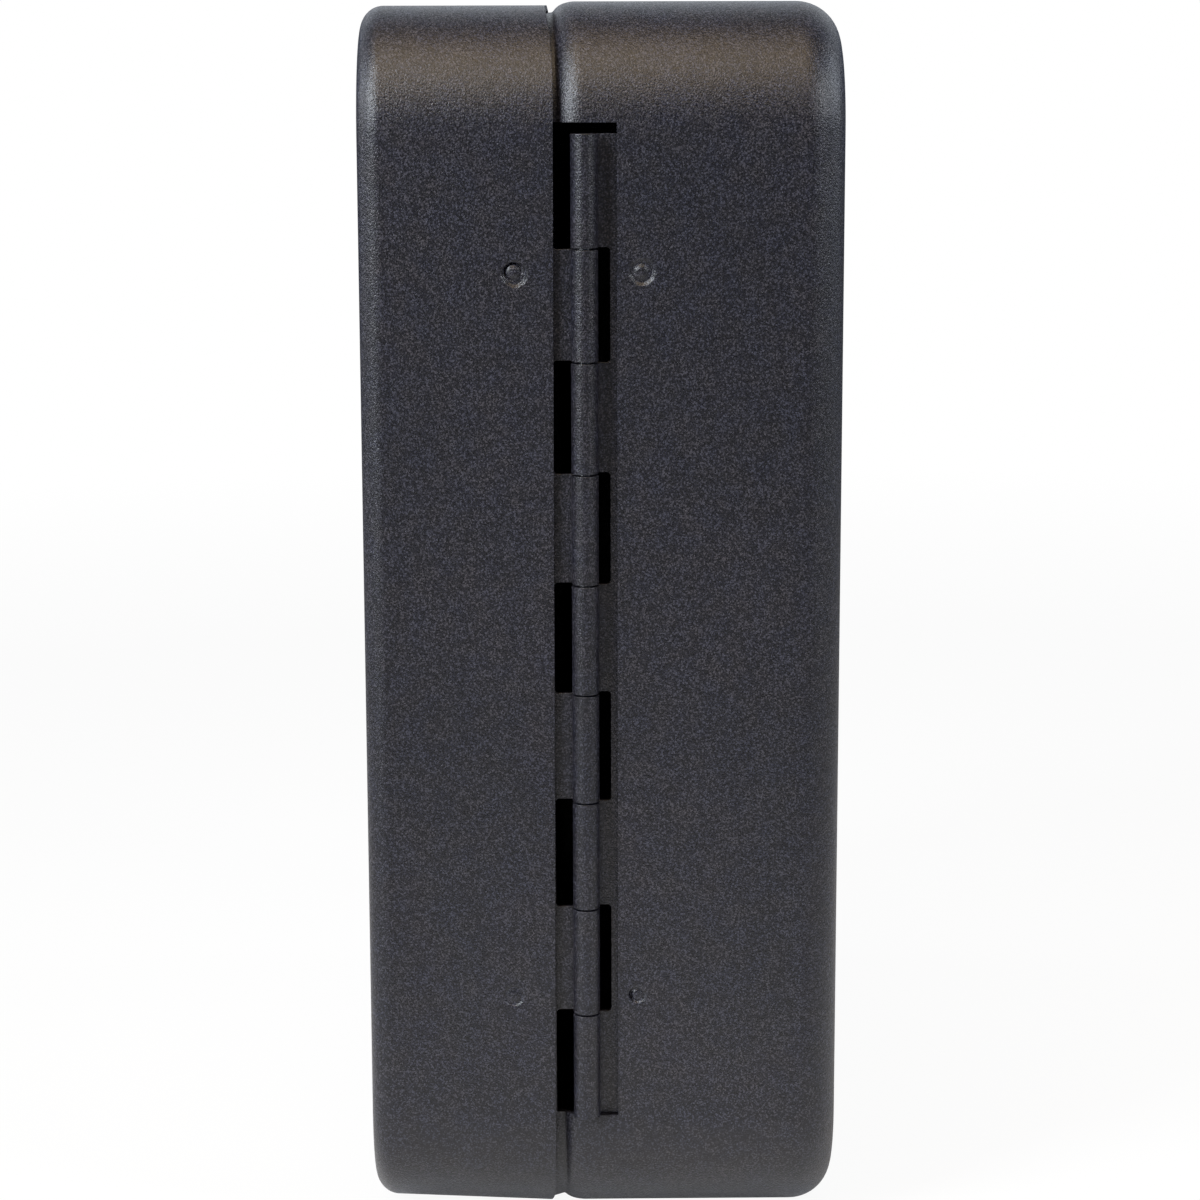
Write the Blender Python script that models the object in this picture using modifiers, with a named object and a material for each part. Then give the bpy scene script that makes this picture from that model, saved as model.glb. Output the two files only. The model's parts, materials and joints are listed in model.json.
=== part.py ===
"""Wall key cabinet: a pressed steel body and a deep door on a continuous hinge, with a cam lock and hook strips.

Metres, +Z up. The origin is the centre of the back face, the front faces -Y and the hinge is on the +X side.
"""

import math

import bmesh
import bpy
from mathutils import Vector

# Case: two pressed pans of one sheet, which meet at the door's rim
CASE_WIDTH = 0.160
CASE_HEIGHT = 0.200
BODY_DEPTH = 0.0455
DOOR_DEPTH = 0.0308
SHEET = 0.0010
CORNER_RADIUS = 0.0200
BACK_EDGE_RADIUS = 0.0075
FRONT_EDGE_RADIUS = 0.0038
SHEET_EDGE_ROUND = 0.00035
DOOR_TOP_DROP = 0.0006
DOOR_BOTTOM_DRAFT = 0.0014

# Rim: the body's shoulder turns in to a lip that the door closes over, and the joint leans to the front at the top
SHOULDER_RADIUS = 0.0049
LIP_CLEARANCE = 0.0004
LIP_REACH = 0.0055
RIM_GAP = 0.0011
RIM_TOP_LEAN = 0.0014
LEAN_POWER = 4

# Gaps between pieces that are fixed to each other, the overrun of cuts, and what counts as one point
SEAT_GAP = 0.0001
CUT_OVERRUN = 0.0010
MERGE_DISTANCE = 0.000001

# Continuous hinge, whose knuckles stand out through a notch in the body
KNUCKLE_COUNT = 9
HINGE_END_GAP = 0.00045
HINGE_RAISE = 0.0004
KNUCKLE_GAP = 0.0003
KNUCKLE_CURL = math.radians(295)
PIN_RADIUS = 0.0011
PIN_CLEARANCE = 0.00015
LEAF_THICKNESS = 0.0009
LEAF_REACH = 0.0160
AXIS_SETBACK = 0.0045
SLOT_REACH = 0.0040
SLOT_CORNER_RADIUS = 0.0006
NOTCH_REACH = 0.0096
NOTCH_TOP_GAP = 0.0017
NOTCH_BOTTOM_GAP = 0.0003

# Spot welds of the two leaves, each of which leaves a ring round a small boss in the wall
WELD_END_INSET = 0.0209
DOOR_WELD_SETBACK = 0.0067
BODY_WELD_SETBACK = 0.0134
WELD_RING_RADIUS = 0.0021
WELD_BOSS_RADIUS = 0.0012
WELD_RING_DEPTH = 0.0002

# Holes in the back for four wall screws
WALL_HOLE_RADIUS = 0.0030
WALL_HOLE_SIDE_INSET = 0.0220
WALL_HOLE_END_INSET = 0.0180

# Keeper that the lock's cam turns in behind
KEEPER_SHEET = 0.0012
KEEPER_HEIGHT = 0.0260
KEEPER_FLANGE = 0.0090
KEEPER_STANDOFF = 0.0023
KEEPER_BEND_RADIUS = 0.0012
KEEPER_SEAT = 0.0050

# Cam lock, whose round pieces are sized outwards from the plug
LOCK_SETBACK = 0.0300
PLUG_RADIUS = 0.0055
PLUG_CLEARANCE = 0.0002
PLUG_FACE_LIP = 0.0009
PLUG_FACE_THICKNESS = 0.0012
PLUG_FACE_DROP = 0.0003
KEYWAY_WIDTH = 0.0020
KEYWAY_HEIGHT = 0.0078
KEYWAY_END_WALL = 0.0046
DRIVE_CORNER_INSET = 0.00055
DRIVE_CLEARANCE = 0.0002
DRIVE_SHORTFALL = 0.0003
BARREL_WALL = 0.0023
BARREL_FLAT_DEPTH = 0.0012
BARREL_HOLE_CLEARANCE = 0.0002
LOCK_HEAD_RIM = 0.0020
LOCK_HEAD_THICKNESS = 0.0022
LOCK_HEAD_CHAMFER = 0.0007
LOCK_WASHER_RIM = 0.0028
LOCK_WASHER_THICKNESS = 0.0008
LOCK_NUT_WALL = 0.0018
LOCK_NUT_THICKNESS = 0.0040
LOCK_NUT_EDGE_ROUND = 0.0004

# Cam and its fixing
CAM_THICKNESS = 0.0020
CAM_CLEARANCE = 0.0005
CAM_HUB_RIM = 0.0015
CAM_ARM_WIDTH = 0.0096
CAM_TIP_CLEARANCE = 0.0018
CAM_WASHER_RADIUS = 0.0055
CAM_WASHER_THICKNESS = 0.0008
CAM_SCREW_RADIUS = 0.0018
CAM_SCREW_CLEARANCE = 0.0002
CAM_SCREW_LENGTH = 0.0075
CAM_SCREW_HEAD_RADIUS = 0.0038
CAM_SCREW_HEAD_THICKNESS = 0.0022
CAM_SCREW_SLOT_WIDTH = 0.0010
CAM_SCREW_SLOT_DEPTH = 0.0010

# Hook strips, bent from sheet, two in the body and two in the door, with hooks at this pitch or more
HOOK_PITCH = 0.0260
HOOK_WIDTH = 0.0050
HOOK_REACH = 0.0125
HOOK_RISE = 0.0075
HOOK_BEND_RADIUS = 0.0015
STRIP_SHEET = 0.0010
STRIP_HEIGHT = 0.0180
STRIP_END_MARGIN = 0.0130
STRIP_SIDE_GAP = 0.0150
UPPER_ROW_DROP = 0.0380
LOWER_ROW_CLEARANCE = 0.0100

# Number labels on the strips
LABEL_HEIGHT = 0.0090
LABEL_THICKNESS = 0.0004
LABEL_MARGIN = 0.0020

# Facets
CORNER_STEPS = 10
EDGE_STEPS = 6
SHOULDER_STEPS = 5
BEND_STEPS = 4
TURN_STEPS = 32
WELD_STEPS = 16
CURL_STEPS = 20
SMOOTH_ANGLE = math.radians(32)

# Paint, bare steel, plate and card
PAINT = ((0.035, 0.034, 0.040, 1.0), 0.55, 0.0)
STEEL = ((0.42, 0.42, 0.43, 1.0), 0.40, 1.0)
CHROME = ((0.72, 0.72, 0.74, 1.0), 0.16, 1.0)
ZINC = ((0.58, 0.57, 0.54, 1.0), 0.38, 1.0)
CARD = ((0.84, 0.84, 0.82, 1.0), 0.70, 0.0)

# Places that follow from the sizes
half_width = CASE_WIDTH / 2
half_height = CASE_HEIGHT / 2
front_y = -BODY_DEPTH - DOOR_DEPTH
lip_inset = DOOR_TOP_DROP + SHEET + LIP_CLEARANCE
lip_front_y = -BODY_DEPTH - LIP_REACH
bore_radius = PIN_RADIUS + PIN_CLEARANCE
knuckle_radius = bore_radius + LEAF_THICKNESS
hinge_length = CASE_HEIGHT - 2 * (CORNER_RADIUS + HINGE_END_GAP)
hinge_top_z = hinge_length / 2 + HINGE_RAISE
knuckle_pitch = hinge_length / KNUCKLE_COUNT
weld_z = hinge_length / 2 - WELD_END_INSET
axis_x = half_width - SHEET - SEAT_GAP + bore_radius
axis_y = -BODY_DEPTH + AXIS_SETBACK
keeper_outer_x = -half_width + lip_inset + SHEET + SEAT_GAP
keeper_back_y = lip_front_y - KEEPER_STANDOFF
lock_x = -half_width + LOCK_SETBACK
plug_face_radius = PLUG_RADIUS + PLUG_FACE_LIP
drive_width = math.sqrt(2) * (PLUG_RADIUS - DRIVE_CORNER_INSET)
barrel_radius = PLUG_RADIUS + PLUG_CLEARANCE + BARREL_WALL
barrel_flat_x = barrel_radius - BARREL_FLAT_DEPTH
barrel_hole_radius = barrel_radius + BARREL_HOLE_CLEARANCE
lock_head_radius = barrel_radius + LOCK_HEAD_RIM
lock_washer_radius = barrel_hole_radius + LOCK_WASHER_RIM
lock_nut_radius = (barrel_hole_radius + LOCK_NUT_WALL) / math.cos(math.pi / 6)
cam_hub_radius = PLUG_RADIUS + CAM_HUB_RIM
cam_front_z = front_y - keeper_back_y - CAM_CLEARANCE
cam_back_z = cam_front_z - CAM_THICKNESS
barrel_end_z = cam_front_z + SEAT_GAP
cam_reach = lock_x - keeper_outer_x - KEEPER_SHEET - CAM_TIP_CLEARANCE
strip_width = CASE_WIDTH - 2 * STRIP_SIDE_GAP
hook_span = strip_width - 2 * STRIP_END_MARGIN
hook_count = int((hook_span + MERGE_DISTANCE) / HOOK_PITCH) + 1
hook_pitch = hook_span / (hook_count - 1)
upper_row_z = half_height - UPPER_ROW_DROP
lower_row_z = -lock_washer_radius - LOWER_ROW_CLEARANCE - STRIP_HEIGHT / 2


def new_material(name, look):
    color, roughness, metallic = look
    material = bpy.data.materials.new(name)
    material.use_nodes = True
    shader = material.node_tree.nodes["Principled BSDF"]
    shader.inputs["Base Color"].default_value = color
    shader.inputs["Roughness"].default_value = roughness
    shader.inputs["Metallic"].default_value = metallic
    material.diffuse_color = color
    return material


def new_collection(name):
    collection = bpy.data.collections.new(name)
    bpy.context.scene.collection.children.link(collection)
    return collection


def new_object(name, mesh, look=None, parent=None, location=(0, 0, 0)):
    """A piece with its own material or, without a look, a cutter."""
    obj = bpy.data.objects.new(name, mesh)
    obj.location = location
    obj.parent = parent
    if look:
        mesh.materials.clear()
        mesh.materials.append(new_material(name, look))
        mesh.shade_smooth()
        mesh.set_sharp_from_angle(angle=SMOOTH_ANGLE)
        parts.objects.link(obj)
    else:
        obj.hide_render = True
        obj.display_type = "WIRE"
        cutters.objects.link(obj)
    return obj


def new_axis(name, location, rotation=(0, 0, 0), parent=None):
    empty = bpy.data.objects.new(name, None)
    empty.location = location
    empty.rotation_euler = rotation
    empty.parent = parent
    parts.objects.link(empty)
    return empty


def cut(obj, cutter, operation="DIFFERENCE"):
    modifier = obj.modifiers.new(cutter.name, "BOOLEAN")
    modifier.operation = operation
    modifier.solver = "EXACT"
    modifier.object = cutter


def box_mesh(name, low, high):
    low, high = Vector(low), Vector(high)
    bm = bmesh.new()
    bmesh.ops.create_cube(bm, size=1)
    bmesh.ops.scale(bm, vec=high - low, verts=bm.verts)
    bmesh.ops.translate(bm, vec=(low + high) / 2, verts=bm.verts)
    mesh = bpy.data.meshes.new(name)
    bm.to_mesh(mesh)
    bm.free()
    return mesh


def box_cutter(name, low, high, parent=None, location=(0, 0, 0)):
    return new_object(name, box_mesh(name, low, high), None, parent, location)


def local_place(parent, place):
    """A place in the cabinet's frame as its child's location, for a parent that isn't turned at rest."""
    return Vector(place) - parent.location if parent else Vector(place)


def rod_mesh(name, radius, low, high, steps=TURN_STEPS):
    """A cylinder about Z from low to high."""
    bm = bmesh.new()
    bmesh.ops.create_cone(
        bm, cap_ends=True, segments=steps, radius1=radius, radius2=radius, depth=high - low
    )
    bmesh.ops.translate(bm, vec=(0, 0, (low + high) / 2), verts=bm.verts)
    mesh = bpy.data.meshes.new(name)
    bm.to_mesh(mesh)
    bm.free()
    return mesh


def turned_mesh(name, profile, closed, steps=TURN_STEPS):
    """The profile of (radius, height) points, down its outer side, turned about Z."""
    bm = bmesh.new()
    points = [bm.verts.new((radius, 0, height)) for radius, height in profile]
    for first, second in zip(points, points[1:]):
        bm.edges.new((first, second))
    if closed:
        bm.edges.new((points[-1], points[0]))
    mesh = bpy.data.meshes.new(name)
    bm.to_mesh(mesh)
    bm.free()
    guide = bpy.data.objects.new(name, mesh)
    bpy.context.scene.collection.objects.link(guide)
    screw = guide.modifiers.new("turn", "SCREW")
    screw.steps = steps
    screw.render_steps = steps
    screw.use_merge_vertices = True
    screw.merge_threshold = MERGE_DISTANCE
    graph = bpy.context.evaluated_depsgraph_get()
    result = bpy.data.meshes.new_from_object(guide.evaluated_get(graph))
    bpy.data.objects.remove(guide, do_unlink=True)
    bpy.data.meshes.remove(mesh)
    return result


def flat_mesh(name, outlines, thickness):
    """A plate in XY, centred on Z, from closed outlines: the first is its edge, the others are holes."""
    curve = bpy.data.curves.new(name, "CURVE")
    curve.dimensions = "2D"
    curve.fill_mode = "BOTH"
    curve.extrude = thickness / 2
    for outline in outlines:
        spline = curve.splines.new("POLY")
        spline.points.add(len(outline) - 1)
        for point, (x, y) in zip(spline.points, outline):
            point.co = (x, y, 0, 1)
        spline.use_cyclic_u = True
    guide = bpy.data.objects.new(name, curve)
    bpy.context.scene.collection.objects.link(guide)
    graph = bpy.context.evaluated_depsgraph_get()
    result = bpy.data.meshes.new_from_object(guide.evaluated_get(graph))
    bpy.data.objects.remove(guide, do_unlink=True)
    bpy.data.curves.remove(curve)
    bm = bmesh.new()
    bm.from_mesh(result)
    bmesh.ops.remove_doubles(bm, verts=bm.verts, dist=MERGE_DISTANCE)
    bmesh.ops.recalc_face_normals(bm, faces=bm.faces)
    bm.to_mesh(result)
    bm.free()
    return result


def arc(center, radius, start, end, steps):
    """Points from angle start to angle end, both included."""
    turns = [start + (end - start) * step / steps for step in range(steps + 1)]
    return [(center[0] + radius * math.cos(a), center[1] + radius * math.sin(a)) for a in turns]


def circle(radius, steps=TURN_STEPS):
    return arc((0, 0), radius, 0, 2 * math.pi, steps)[:-1]


def rectangle(half_x, half_y):
    return [(half_x, half_y), (-half_x, half_y), (-half_x, -half_y), (half_x, -half_y)]


def double_flat(radius, flat_x):
    """A circle with two flats, at plus and minus flat_x."""
    turn = math.acos(flat_x / radius)
    upper = arc((0, 0), radius, turn, math.pi - turn, TURN_STEPS // 2)
    return upper + [(-x, -y) for x, y in upper]


def bent_path(corners, radius):
    """The polyline through the corners, with each inner corner rounded to the radius."""
    corners = [Vector(corner) for corner in corners]
    path = [corners[0]]
    for before, corner, after in zip(corners, corners[1:], corners[2:]):
        back = (before - corner).normalized()
        ahead = (after - corner).normalized()
        half = back.angle(ahead) / 2
        center = corner + (back + ahead).normalized() * radius / math.sin(half)
        first = corner + back * radius / math.tan(half)
        start = first - center
        turn = start.angle_signed(corner + ahead * radius / math.tan(half) - center)
        for step in range(BEND_STEPS + 1):
            angle = -turn * step / BEND_STEPS
            spoke = Vector(
                (
                    start.x * math.cos(angle) - start.y * math.sin(angle),
                    start.x * math.sin(angle) + start.y * math.cos(angle),
                )
            )
            path.append(center + spoke)
    path.append(corners[-1])
    return path


def sheet_section(path, thickness):
    """The outline of a sheet whose middle follows the path."""
    sides = [[], []]
    for index, point in enumerate(path):
        ahead = path[min(index + 1, len(path) - 1)] - point
        behind = point - path[max(index - 1, 0)]
        ahead = ahead.normalized() if ahead.length else behind.normalized()
        behind = behind.normalized() if behind.length else ahead
        along = (ahead + behind).normalized()
        normal = Vector((-along.y, along.x)) / along.dot(ahead)
        sides[0].append(tuple(point + normal * thickness / 2))
        sides[1].append(tuple(point - normal * thickness / 2))
    return sides[0] + sides[1][::-1]


def case_ring(inset, low, high):
    """Points of the case's rounded outline in XZ, drawn in by the inset."""
    across = half_width - CORNER_RADIUS
    radius = CORNER_RADIUS - inset
    centers = (
        (across, high - CORNER_RADIUS),
        (-across, high - CORNER_RADIUS),
        (-across, low + CORNER_RADIUS),
        (across, low + CORNER_RADIUS),
    )
    ring = []
    for quarter, center in enumerate(centers):
        start = quarter * math.pi / 2
        ring += arc(center, radius, start, start + math.pi / 2, CORNER_STEPS)
    return ring


def pan_mesh(name, profile, low, high, rise=0):
    """A pressed pan: case outlines lofted along the profile of (inset, y) points and closed at its end.

    From the rim to the closed end its lower wall rises, and its top corners' lean to the front runs out.
    """
    bm = bmesh.new()
    rings = []
    rim_y, end_y = profile[0][1], profile[-1][1]
    for inset, y in profile:
        depth_share = (y - rim_y) / (end_y - rim_y)
        ring = []
        for x, z in case_ring(inset, low + rise * depth_share, high):
            climb_share = max(0, 1 - (high - z) / CORNER_RADIUS)
            lean = RIM_TOP_LEAN * (1 - depth_share) * climb_share**LEAN_POWER
            ring.append(bm.verts.new((x, y - lean, z)))
        rings.append(ring)
    for first, second in zip(rings, rings[1:]):
        for index in range(len(first)):
            after = (index + 1) % len(first)
            bm.faces.new((first[index], first[after], second[after], second[index]))
    bm.faces.new(rings[-1])
    bmesh.ops.recalc_face_normals(bm, faces=bm.faces)
    mesh = bpy.data.meshes.new(name)
    bm.to_mesh(mesh)
    bm.free()
    return mesh


def give_thickness(obj, outward):
    """Thickens a pan inwards and rounds the sheet's edge at its rim."""
    solidify = obj.modifiers.new("sheet", "SOLIDIFY")
    solidify.thickness = SHEET
    solidify.offset = -1 if outward else 1
    solidify.use_even_offset = True
    bevel = obj.modifiers.new("rim", "BEVEL")
    bevel.width = SHEET_EDGE_ROUND
    bevel.segments = 2
    bevel.limit_method = "ANGLE"
    bevel.angle_limit = math.radians(70)


def even_shading(obj):
    """Keeps a flat face evenly shaded up to the curve beside it."""
    normals = obj.modifiers.new("normals", "WEIGHTED_NORMAL")
    normals.keep_sharp = True


def faces_point_out(mesh):
    """Whether the pan's last face, its bottom, looks away from its rim."""
    bottom = mesh.polygons[-1]
    rim = mesh.vertices[0].co
    return (bottom.center - rim).dot(bottom.normal) > 0


def weld_marks(obj, place_y, parent=None):
    """Two ring marks in the hinge side's wall, over the leaf behind it."""
    slope = WELD_RING_DEPTH
    profile = [
        (WELD_BOSS_RADIUS - slope, CUT_OVERRUN),
        (WELD_RING_RADIUS + slope, CUT_OVERRUN),
        (WELD_RING_RADIUS + slope, 0),
        (WELD_RING_RADIUS - slope, -WELD_RING_DEPTH),
        (WELD_BOSS_RADIUS + slope, -WELD_RING_DEPTH),
        (WELD_BOSS_RADIUS - slope, 0),
    ]
    for side in (1, -1):
        name = f"{obj.name}_weld_{'upper' if side > 0 else 'lower'}"
        place = local_place(parent, (half_width, place_y, side * weld_z))
        mark = new_object(name, turned_mesh(name, profile, True, WELD_STEPS), None, parent, place)
        mark.rotation_euler = (0, math.pi / 2, 0)
        cut(obj, mark)


def body_profile():
    """From the lip's free edge, over the shoulder and along the wall, to the back."""
    turn = math.acos((SHOULDER_RADIUS - lip_inset) / SHOULDER_RADIUS)
    foot_y = -BODY_DEPTH + RIM_GAP
    shoulder_y = foot_y + SHOULDER_RADIUS * math.sin(turn)
    profile = [(lip_inset, lip_front_y)]
    for step in range(SHOULDER_STEPS + 1):
        a = turn * (1 - step / SHOULDER_STEPS)
        inset = SHOULDER_RADIUS * (1 - math.cos(a))
        profile.append((inset, shoulder_y - SHOULDER_RADIUS * math.sin(a)))
    for step in range(EDGE_STEPS + 1):
        a = math.pi / 2 * step / EDGE_STEPS
        inset = BACK_EDGE_RADIUS * (1 - math.cos(a))
        profile.append((inset, BACK_EDGE_RADIUS * (math.sin(a) - 1)))
    return profile


def door_profile():
    """From the door's rim along its wall and round the front edge, from the rim's own plane."""
    profile = [(0, 0)]
    for step in range(EDGE_STEPS + 1):
        a = math.pi / 2 * step / EDGE_STEPS
        inset = FRONT_EDGE_RADIUS * (1 - math.cos(a))
        profile.append((inset, FRONT_EDGE_RADIUS * (1 - math.sin(a)) - DOOR_DEPTH))
    return profile


def make_body_shell():
    mesh = pan_mesh("body_shell", body_profile(), -half_height, half_height)
    shell = new_object("body_shell", mesh, PAINT)
    give_thickness(shell, faces_point_out(mesh))
    wall_x = half_width - lip_inset - SHEET
    notch = box_cutter(
        "hinge_notch",
        (wall_x - CUT_OVERRUN, lip_front_y - CUT_OVERRUN, hinge_top_z - hinge_length - NOTCH_BOTTOM_GAP),
        (half_width + CUT_OVERRUN, NOTCH_REACH - BODY_DEPTH, hinge_top_z + NOTCH_TOP_GAP),
    )
    cut(shell, notch)
    for side_x in (1, -1):
        for side_z in (1, -1):
            name = f"wall_hole_{'right' if side_x > 0 else 'left'}_{'upper' if side_z > 0 else 'lower'}"
            hole = new_object(name, rod_mesh(name, WALL_HOLE_RADIUS, -SHEET - CUT_OVERRUN, CUT_OVERRUN))
            hole.rotation_euler = (-math.pi / 2, 0, 0)
            hole.location.x = side_x * (half_width - WALL_HOLE_SIDE_INSET)
            hole.location.z = side_z * (half_height - WALL_HOLE_END_INSET)
            cut(shell, hole)
    weld_marks(shell, BODY_WELD_SETBACK - BODY_DEPTH)
    even_shading(shell)


def make_door_shell(parent):
    top = half_height - DOOR_TOP_DROP
    mesh = pan_mesh("door_shell", door_profile(), -half_height, top, DOOR_BOTTOM_DRAFT)
    place = local_place(parent, (0, -BODY_DEPTH, 0))
    shell = new_object("door_shell", mesh, PAINT, parent, place)
    give_thickness(shell, faces_point_out(mesh))
    outline = double_flat(barrel_hole_radius, barrel_flat_x + BARREL_HOLE_CLEARANCE)
    hole_mesh = flat_mesh("barrel_hole", [outline], 2 * (SHEET + CUT_OVERRUN))
    hole_place = local_place(parent, (lock_x, front_y, 0))
    hole = new_object("barrel_hole", hole_mesh, None, parent, hole_place)
    hole.rotation_euler = (math.pi / 2, 0, 0)
    cut(shell, hole)
    weld_marks(shell, -BODY_DEPTH - DOOR_WELD_SETBACK, parent)
    even_shading(shell)


def leaf_outline(side):
    """A leaf's section about the pin: a flat plate towards side (1 back, -1 front) whose edge is rolled."""
    start = math.pi
    end = math.pi + side * KNUCKLE_CURL
    outer = arc((0, 0), knuckle_radius, start, end, CURL_STEPS)
    inner = arc((0, 0), bore_radius, end, start, CURL_STEPS)
    plate_end = side * LEAF_REACH
    return [(-knuckle_radius, plate_end)] + outer + inner + [(-bore_radius, plate_end)]


def make_leaf(name, side, first_slot, parent, location):
    """A hinge leaf, slotted where the other leaf's knuckles lie."""
    leaf = new_object(name, flat_mesh(name, [leaf_outline(side)], hinge_length), PAINT, parent, location)
    around = knuckle_radius + CUT_OVERRUN
    for index in range(first_slot, KNUCKLE_COUNT, 2):
        top = hinge_length / 2 - index * knuckle_pitch + KNUCKLE_GAP / 2
        bottom = top - knuckle_pitch - KNUCKLE_GAP
        if index == 0:
            top += CUT_OVERRUN
        if index == KNUCKLE_COUNT - 1:
            bottom -= CUT_OVERRUN
        ends = sorted((side * SLOT_REACH, -side * around))
        slot = box_cutter(
            f"{name}_slot_{index + 1}",
            (-around, ends[0], bottom),
            (around, ends[1], top),
            parent,
            location,
        )
        round_slot_end(slot.data, side)
        cut(leaf, slot)
    return leaf


def round_slot_end(mesh, side):
    """Rounds the two corners at the closed end of a slot's cutter."""
    bm = bmesh.new()
    bm.from_mesh(mesh)
    reach = max(vert.co.y * side for vert in bm.verts)
    ends = []
    for edge in bm.edges:
        first, second = edge.verts
        along_x = abs(first.co.x - second.co.x) > abs(first.co.z - second.co.z)
        if along_x and first.co.y * side == reach and second.co.y * side == reach:
            ends.append(edge)
    bmesh.ops.bevel(
        bm, geom=ends, offset=SLOT_CORNER_RADIUS, segments=3, profile=0.5, affect="EDGES"
    )
    bm.to_mesh(mesh)
    bm.free()


def make_keeper():
    """A bent strip on the inside of the lip, with a flange that faces the middle."""
    middle = KEEPER_SHEET / 2
    plate_x = keeper_outer_x + middle
    flange_y = keeper_back_y - middle
    corners = [
        (plate_x, lip_front_y + KEEPER_SEAT),
        (plate_x, flange_y),
        (keeper_outer_x + KEEPER_FLANGE, flange_y),
    ]
    outline = sheet_section(bent_path(corners, KEEPER_BEND_RADIUS), KEEPER_SHEET)
    return new_object("lock_keeper", flat_mesh("lock_keeper", [outline], KEEPER_HEIGHT), PAINT)


def make_lock_barrel(parent):
    base = SEAT_GAP
    head_top = base + LOCK_HEAD_THICKNESS
    recess_radius = plug_face_radius + PLUG_CLEARANCE
    recess_z = head_top - PLUG_FACE_DROP - PLUG_FACE_THICKNESS - PLUG_CLEARANCE
    bore = PLUG_RADIUS + PLUG_CLEARANCE
    profile = [
        (recess_radius, head_top),
        (lock_head_radius - LOCK_HEAD_CHAMFER, head_top),
        (lock_head_radius, head_top - LOCK_HEAD_CHAMFER),
        (lock_head_radius, base),
        (barrel_radius, base),
        (barrel_radius, barrel_end_z),
        (bore, barrel_end_z),
        (bore, recess_z),
        (recess_radius, recess_z),
    ]
    barrel = new_object("lock_barrel", turned_mesh("lock_barrel", profile, True), CHROME, parent)
    for side in (1, -1):
        inner = side * barrel_flat_x
        outer = side * (barrel_radius + CUT_OVERRUN)
        low, high = sorted((inner, outer))
        name = f"barrel_flat_{'right' if side > 0 else 'left'}"
        flat = box_cutter(
            name,
            (low, -barrel_radius - CUT_OVERRUN, barrel_end_z - CUT_OVERRUN),
            (high, barrel_radius + CUT_OVERRUN, base),
            parent,
        )
        cut(barrel, flat)
    return barrel


def make_lock_plug(parent):
    top = SEAT_GAP + LOCK_HEAD_THICKNESS - PLUG_FACE_DROP
    profile = [
        (0, top),
        (plug_face_radius, top),
        (plug_face_radius, top - PLUG_FACE_THICKNESS),
        (PLUG_RADIUS, top - PLUG_FACE_THICKNESS),
        (PLUG_RADIUS, barrel_end_z),
        (0, barrel_end_z),
    ]
    plug = new_object("lock_plug", turned_mesh("lock_plug", profile, False), STEEL, parent)
    half_drive = drive_width / 2
    drive = box_cutter(
        "plug_drive",
        (-half_drive, -half_drive, cam_back_z + DRIVE_SHORTFALL),
        (half_drive, half_drive, barrel_end_z + CUT_OVERRUN),
        parent,
    )
    cut(plug, drive, "UNION")
    screw_end = cam_back_z - CAM_WASHER_THICKNESS - 2 * SEAT_GAP + CAM_SCREW_LENGTH
    hole_end = screw_end + CAM_SCREW_CLEARANCE
    keyway = box_cutter(
        "keyway",
        (-KEYWAY_WIDTH / 2, -KEYWAY_HEIGHT / 2, hole_end + KEYWAY_END_WALL),
        (KEYWAY_WIDTH / 2, KEYWAY_HEIGHT / 2, top + CUT_OVERRUN),
        parent,
    )
    cut(plug, keyway)
    hole_radius = CAM_SCREW_RADIUS + CAM_SCREW_CLEARANCE
    hole_mesh = rod_mesh("plug_screw_hole", hole_radius, cam_back_z - CUT_OVERRUN, hole_end)
    cut(plug, new_object("plug_screw_hole", hole_mesh, parent=parent))
    return plug


def make_lock_fixings(parent):
    """The washer and the nut that clamp the barrel to the door's sheet."""
    hole = circle(barrel_hole_radius)
    washer_top = -SHEET - SEAT_GAP
    washer = flat_mesh("lock_washer", [circle(lock_washer_radius), hole], LOCK_WASHER_THICKNESS)
    new_object(
        "lock_washer", washer, ZINC, parent, (0, 0, washer_top - LOCK_WASHER_THICKNESS / 2)
    )
    nut_top = washer_top - LOCK_WASHER_THICKNESS - SEAT_GAP
    nut_mesh = flat_mesh("lock_nut", [circle(lock_nut_radius, 6), hole], LOCK_NUT_THICKNESS)
    nut = new_object("lock_nut", nut_mesh, ZINC, parent, (0, 0, nut_top - LOCK_NUT_THICKNESS / 2))
    bevel = nut.modifiers.new("edges", "BEVEL")
    bevel.width = LOCK_NUT_EDGE_ROUND
    bevel.segments = 1
    bevel.limit_method = "ANGLE"
    bevel.angle_limit = SMOOTH_ANGLE


def cam_outline():
    """A round hub with a tapering arm that hangs towards -Y, whose end is rounded."""
    tip_radius = CAM_ARM_WIDTH / 2
    tip_y = tip_radius - cam_reach
    lean = math.asin((cam_hub_radius - tip_radius) / -tip_y)
    hub = arc((0, 0), cam_hub_radius, -lean, math.pi + lean, CURL_STEPS)
    return hub + arc((0, tip_y), tip_radius, math.pi + lean, 2 * math.pi - lean, CURL_STEPS // 2)


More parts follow.
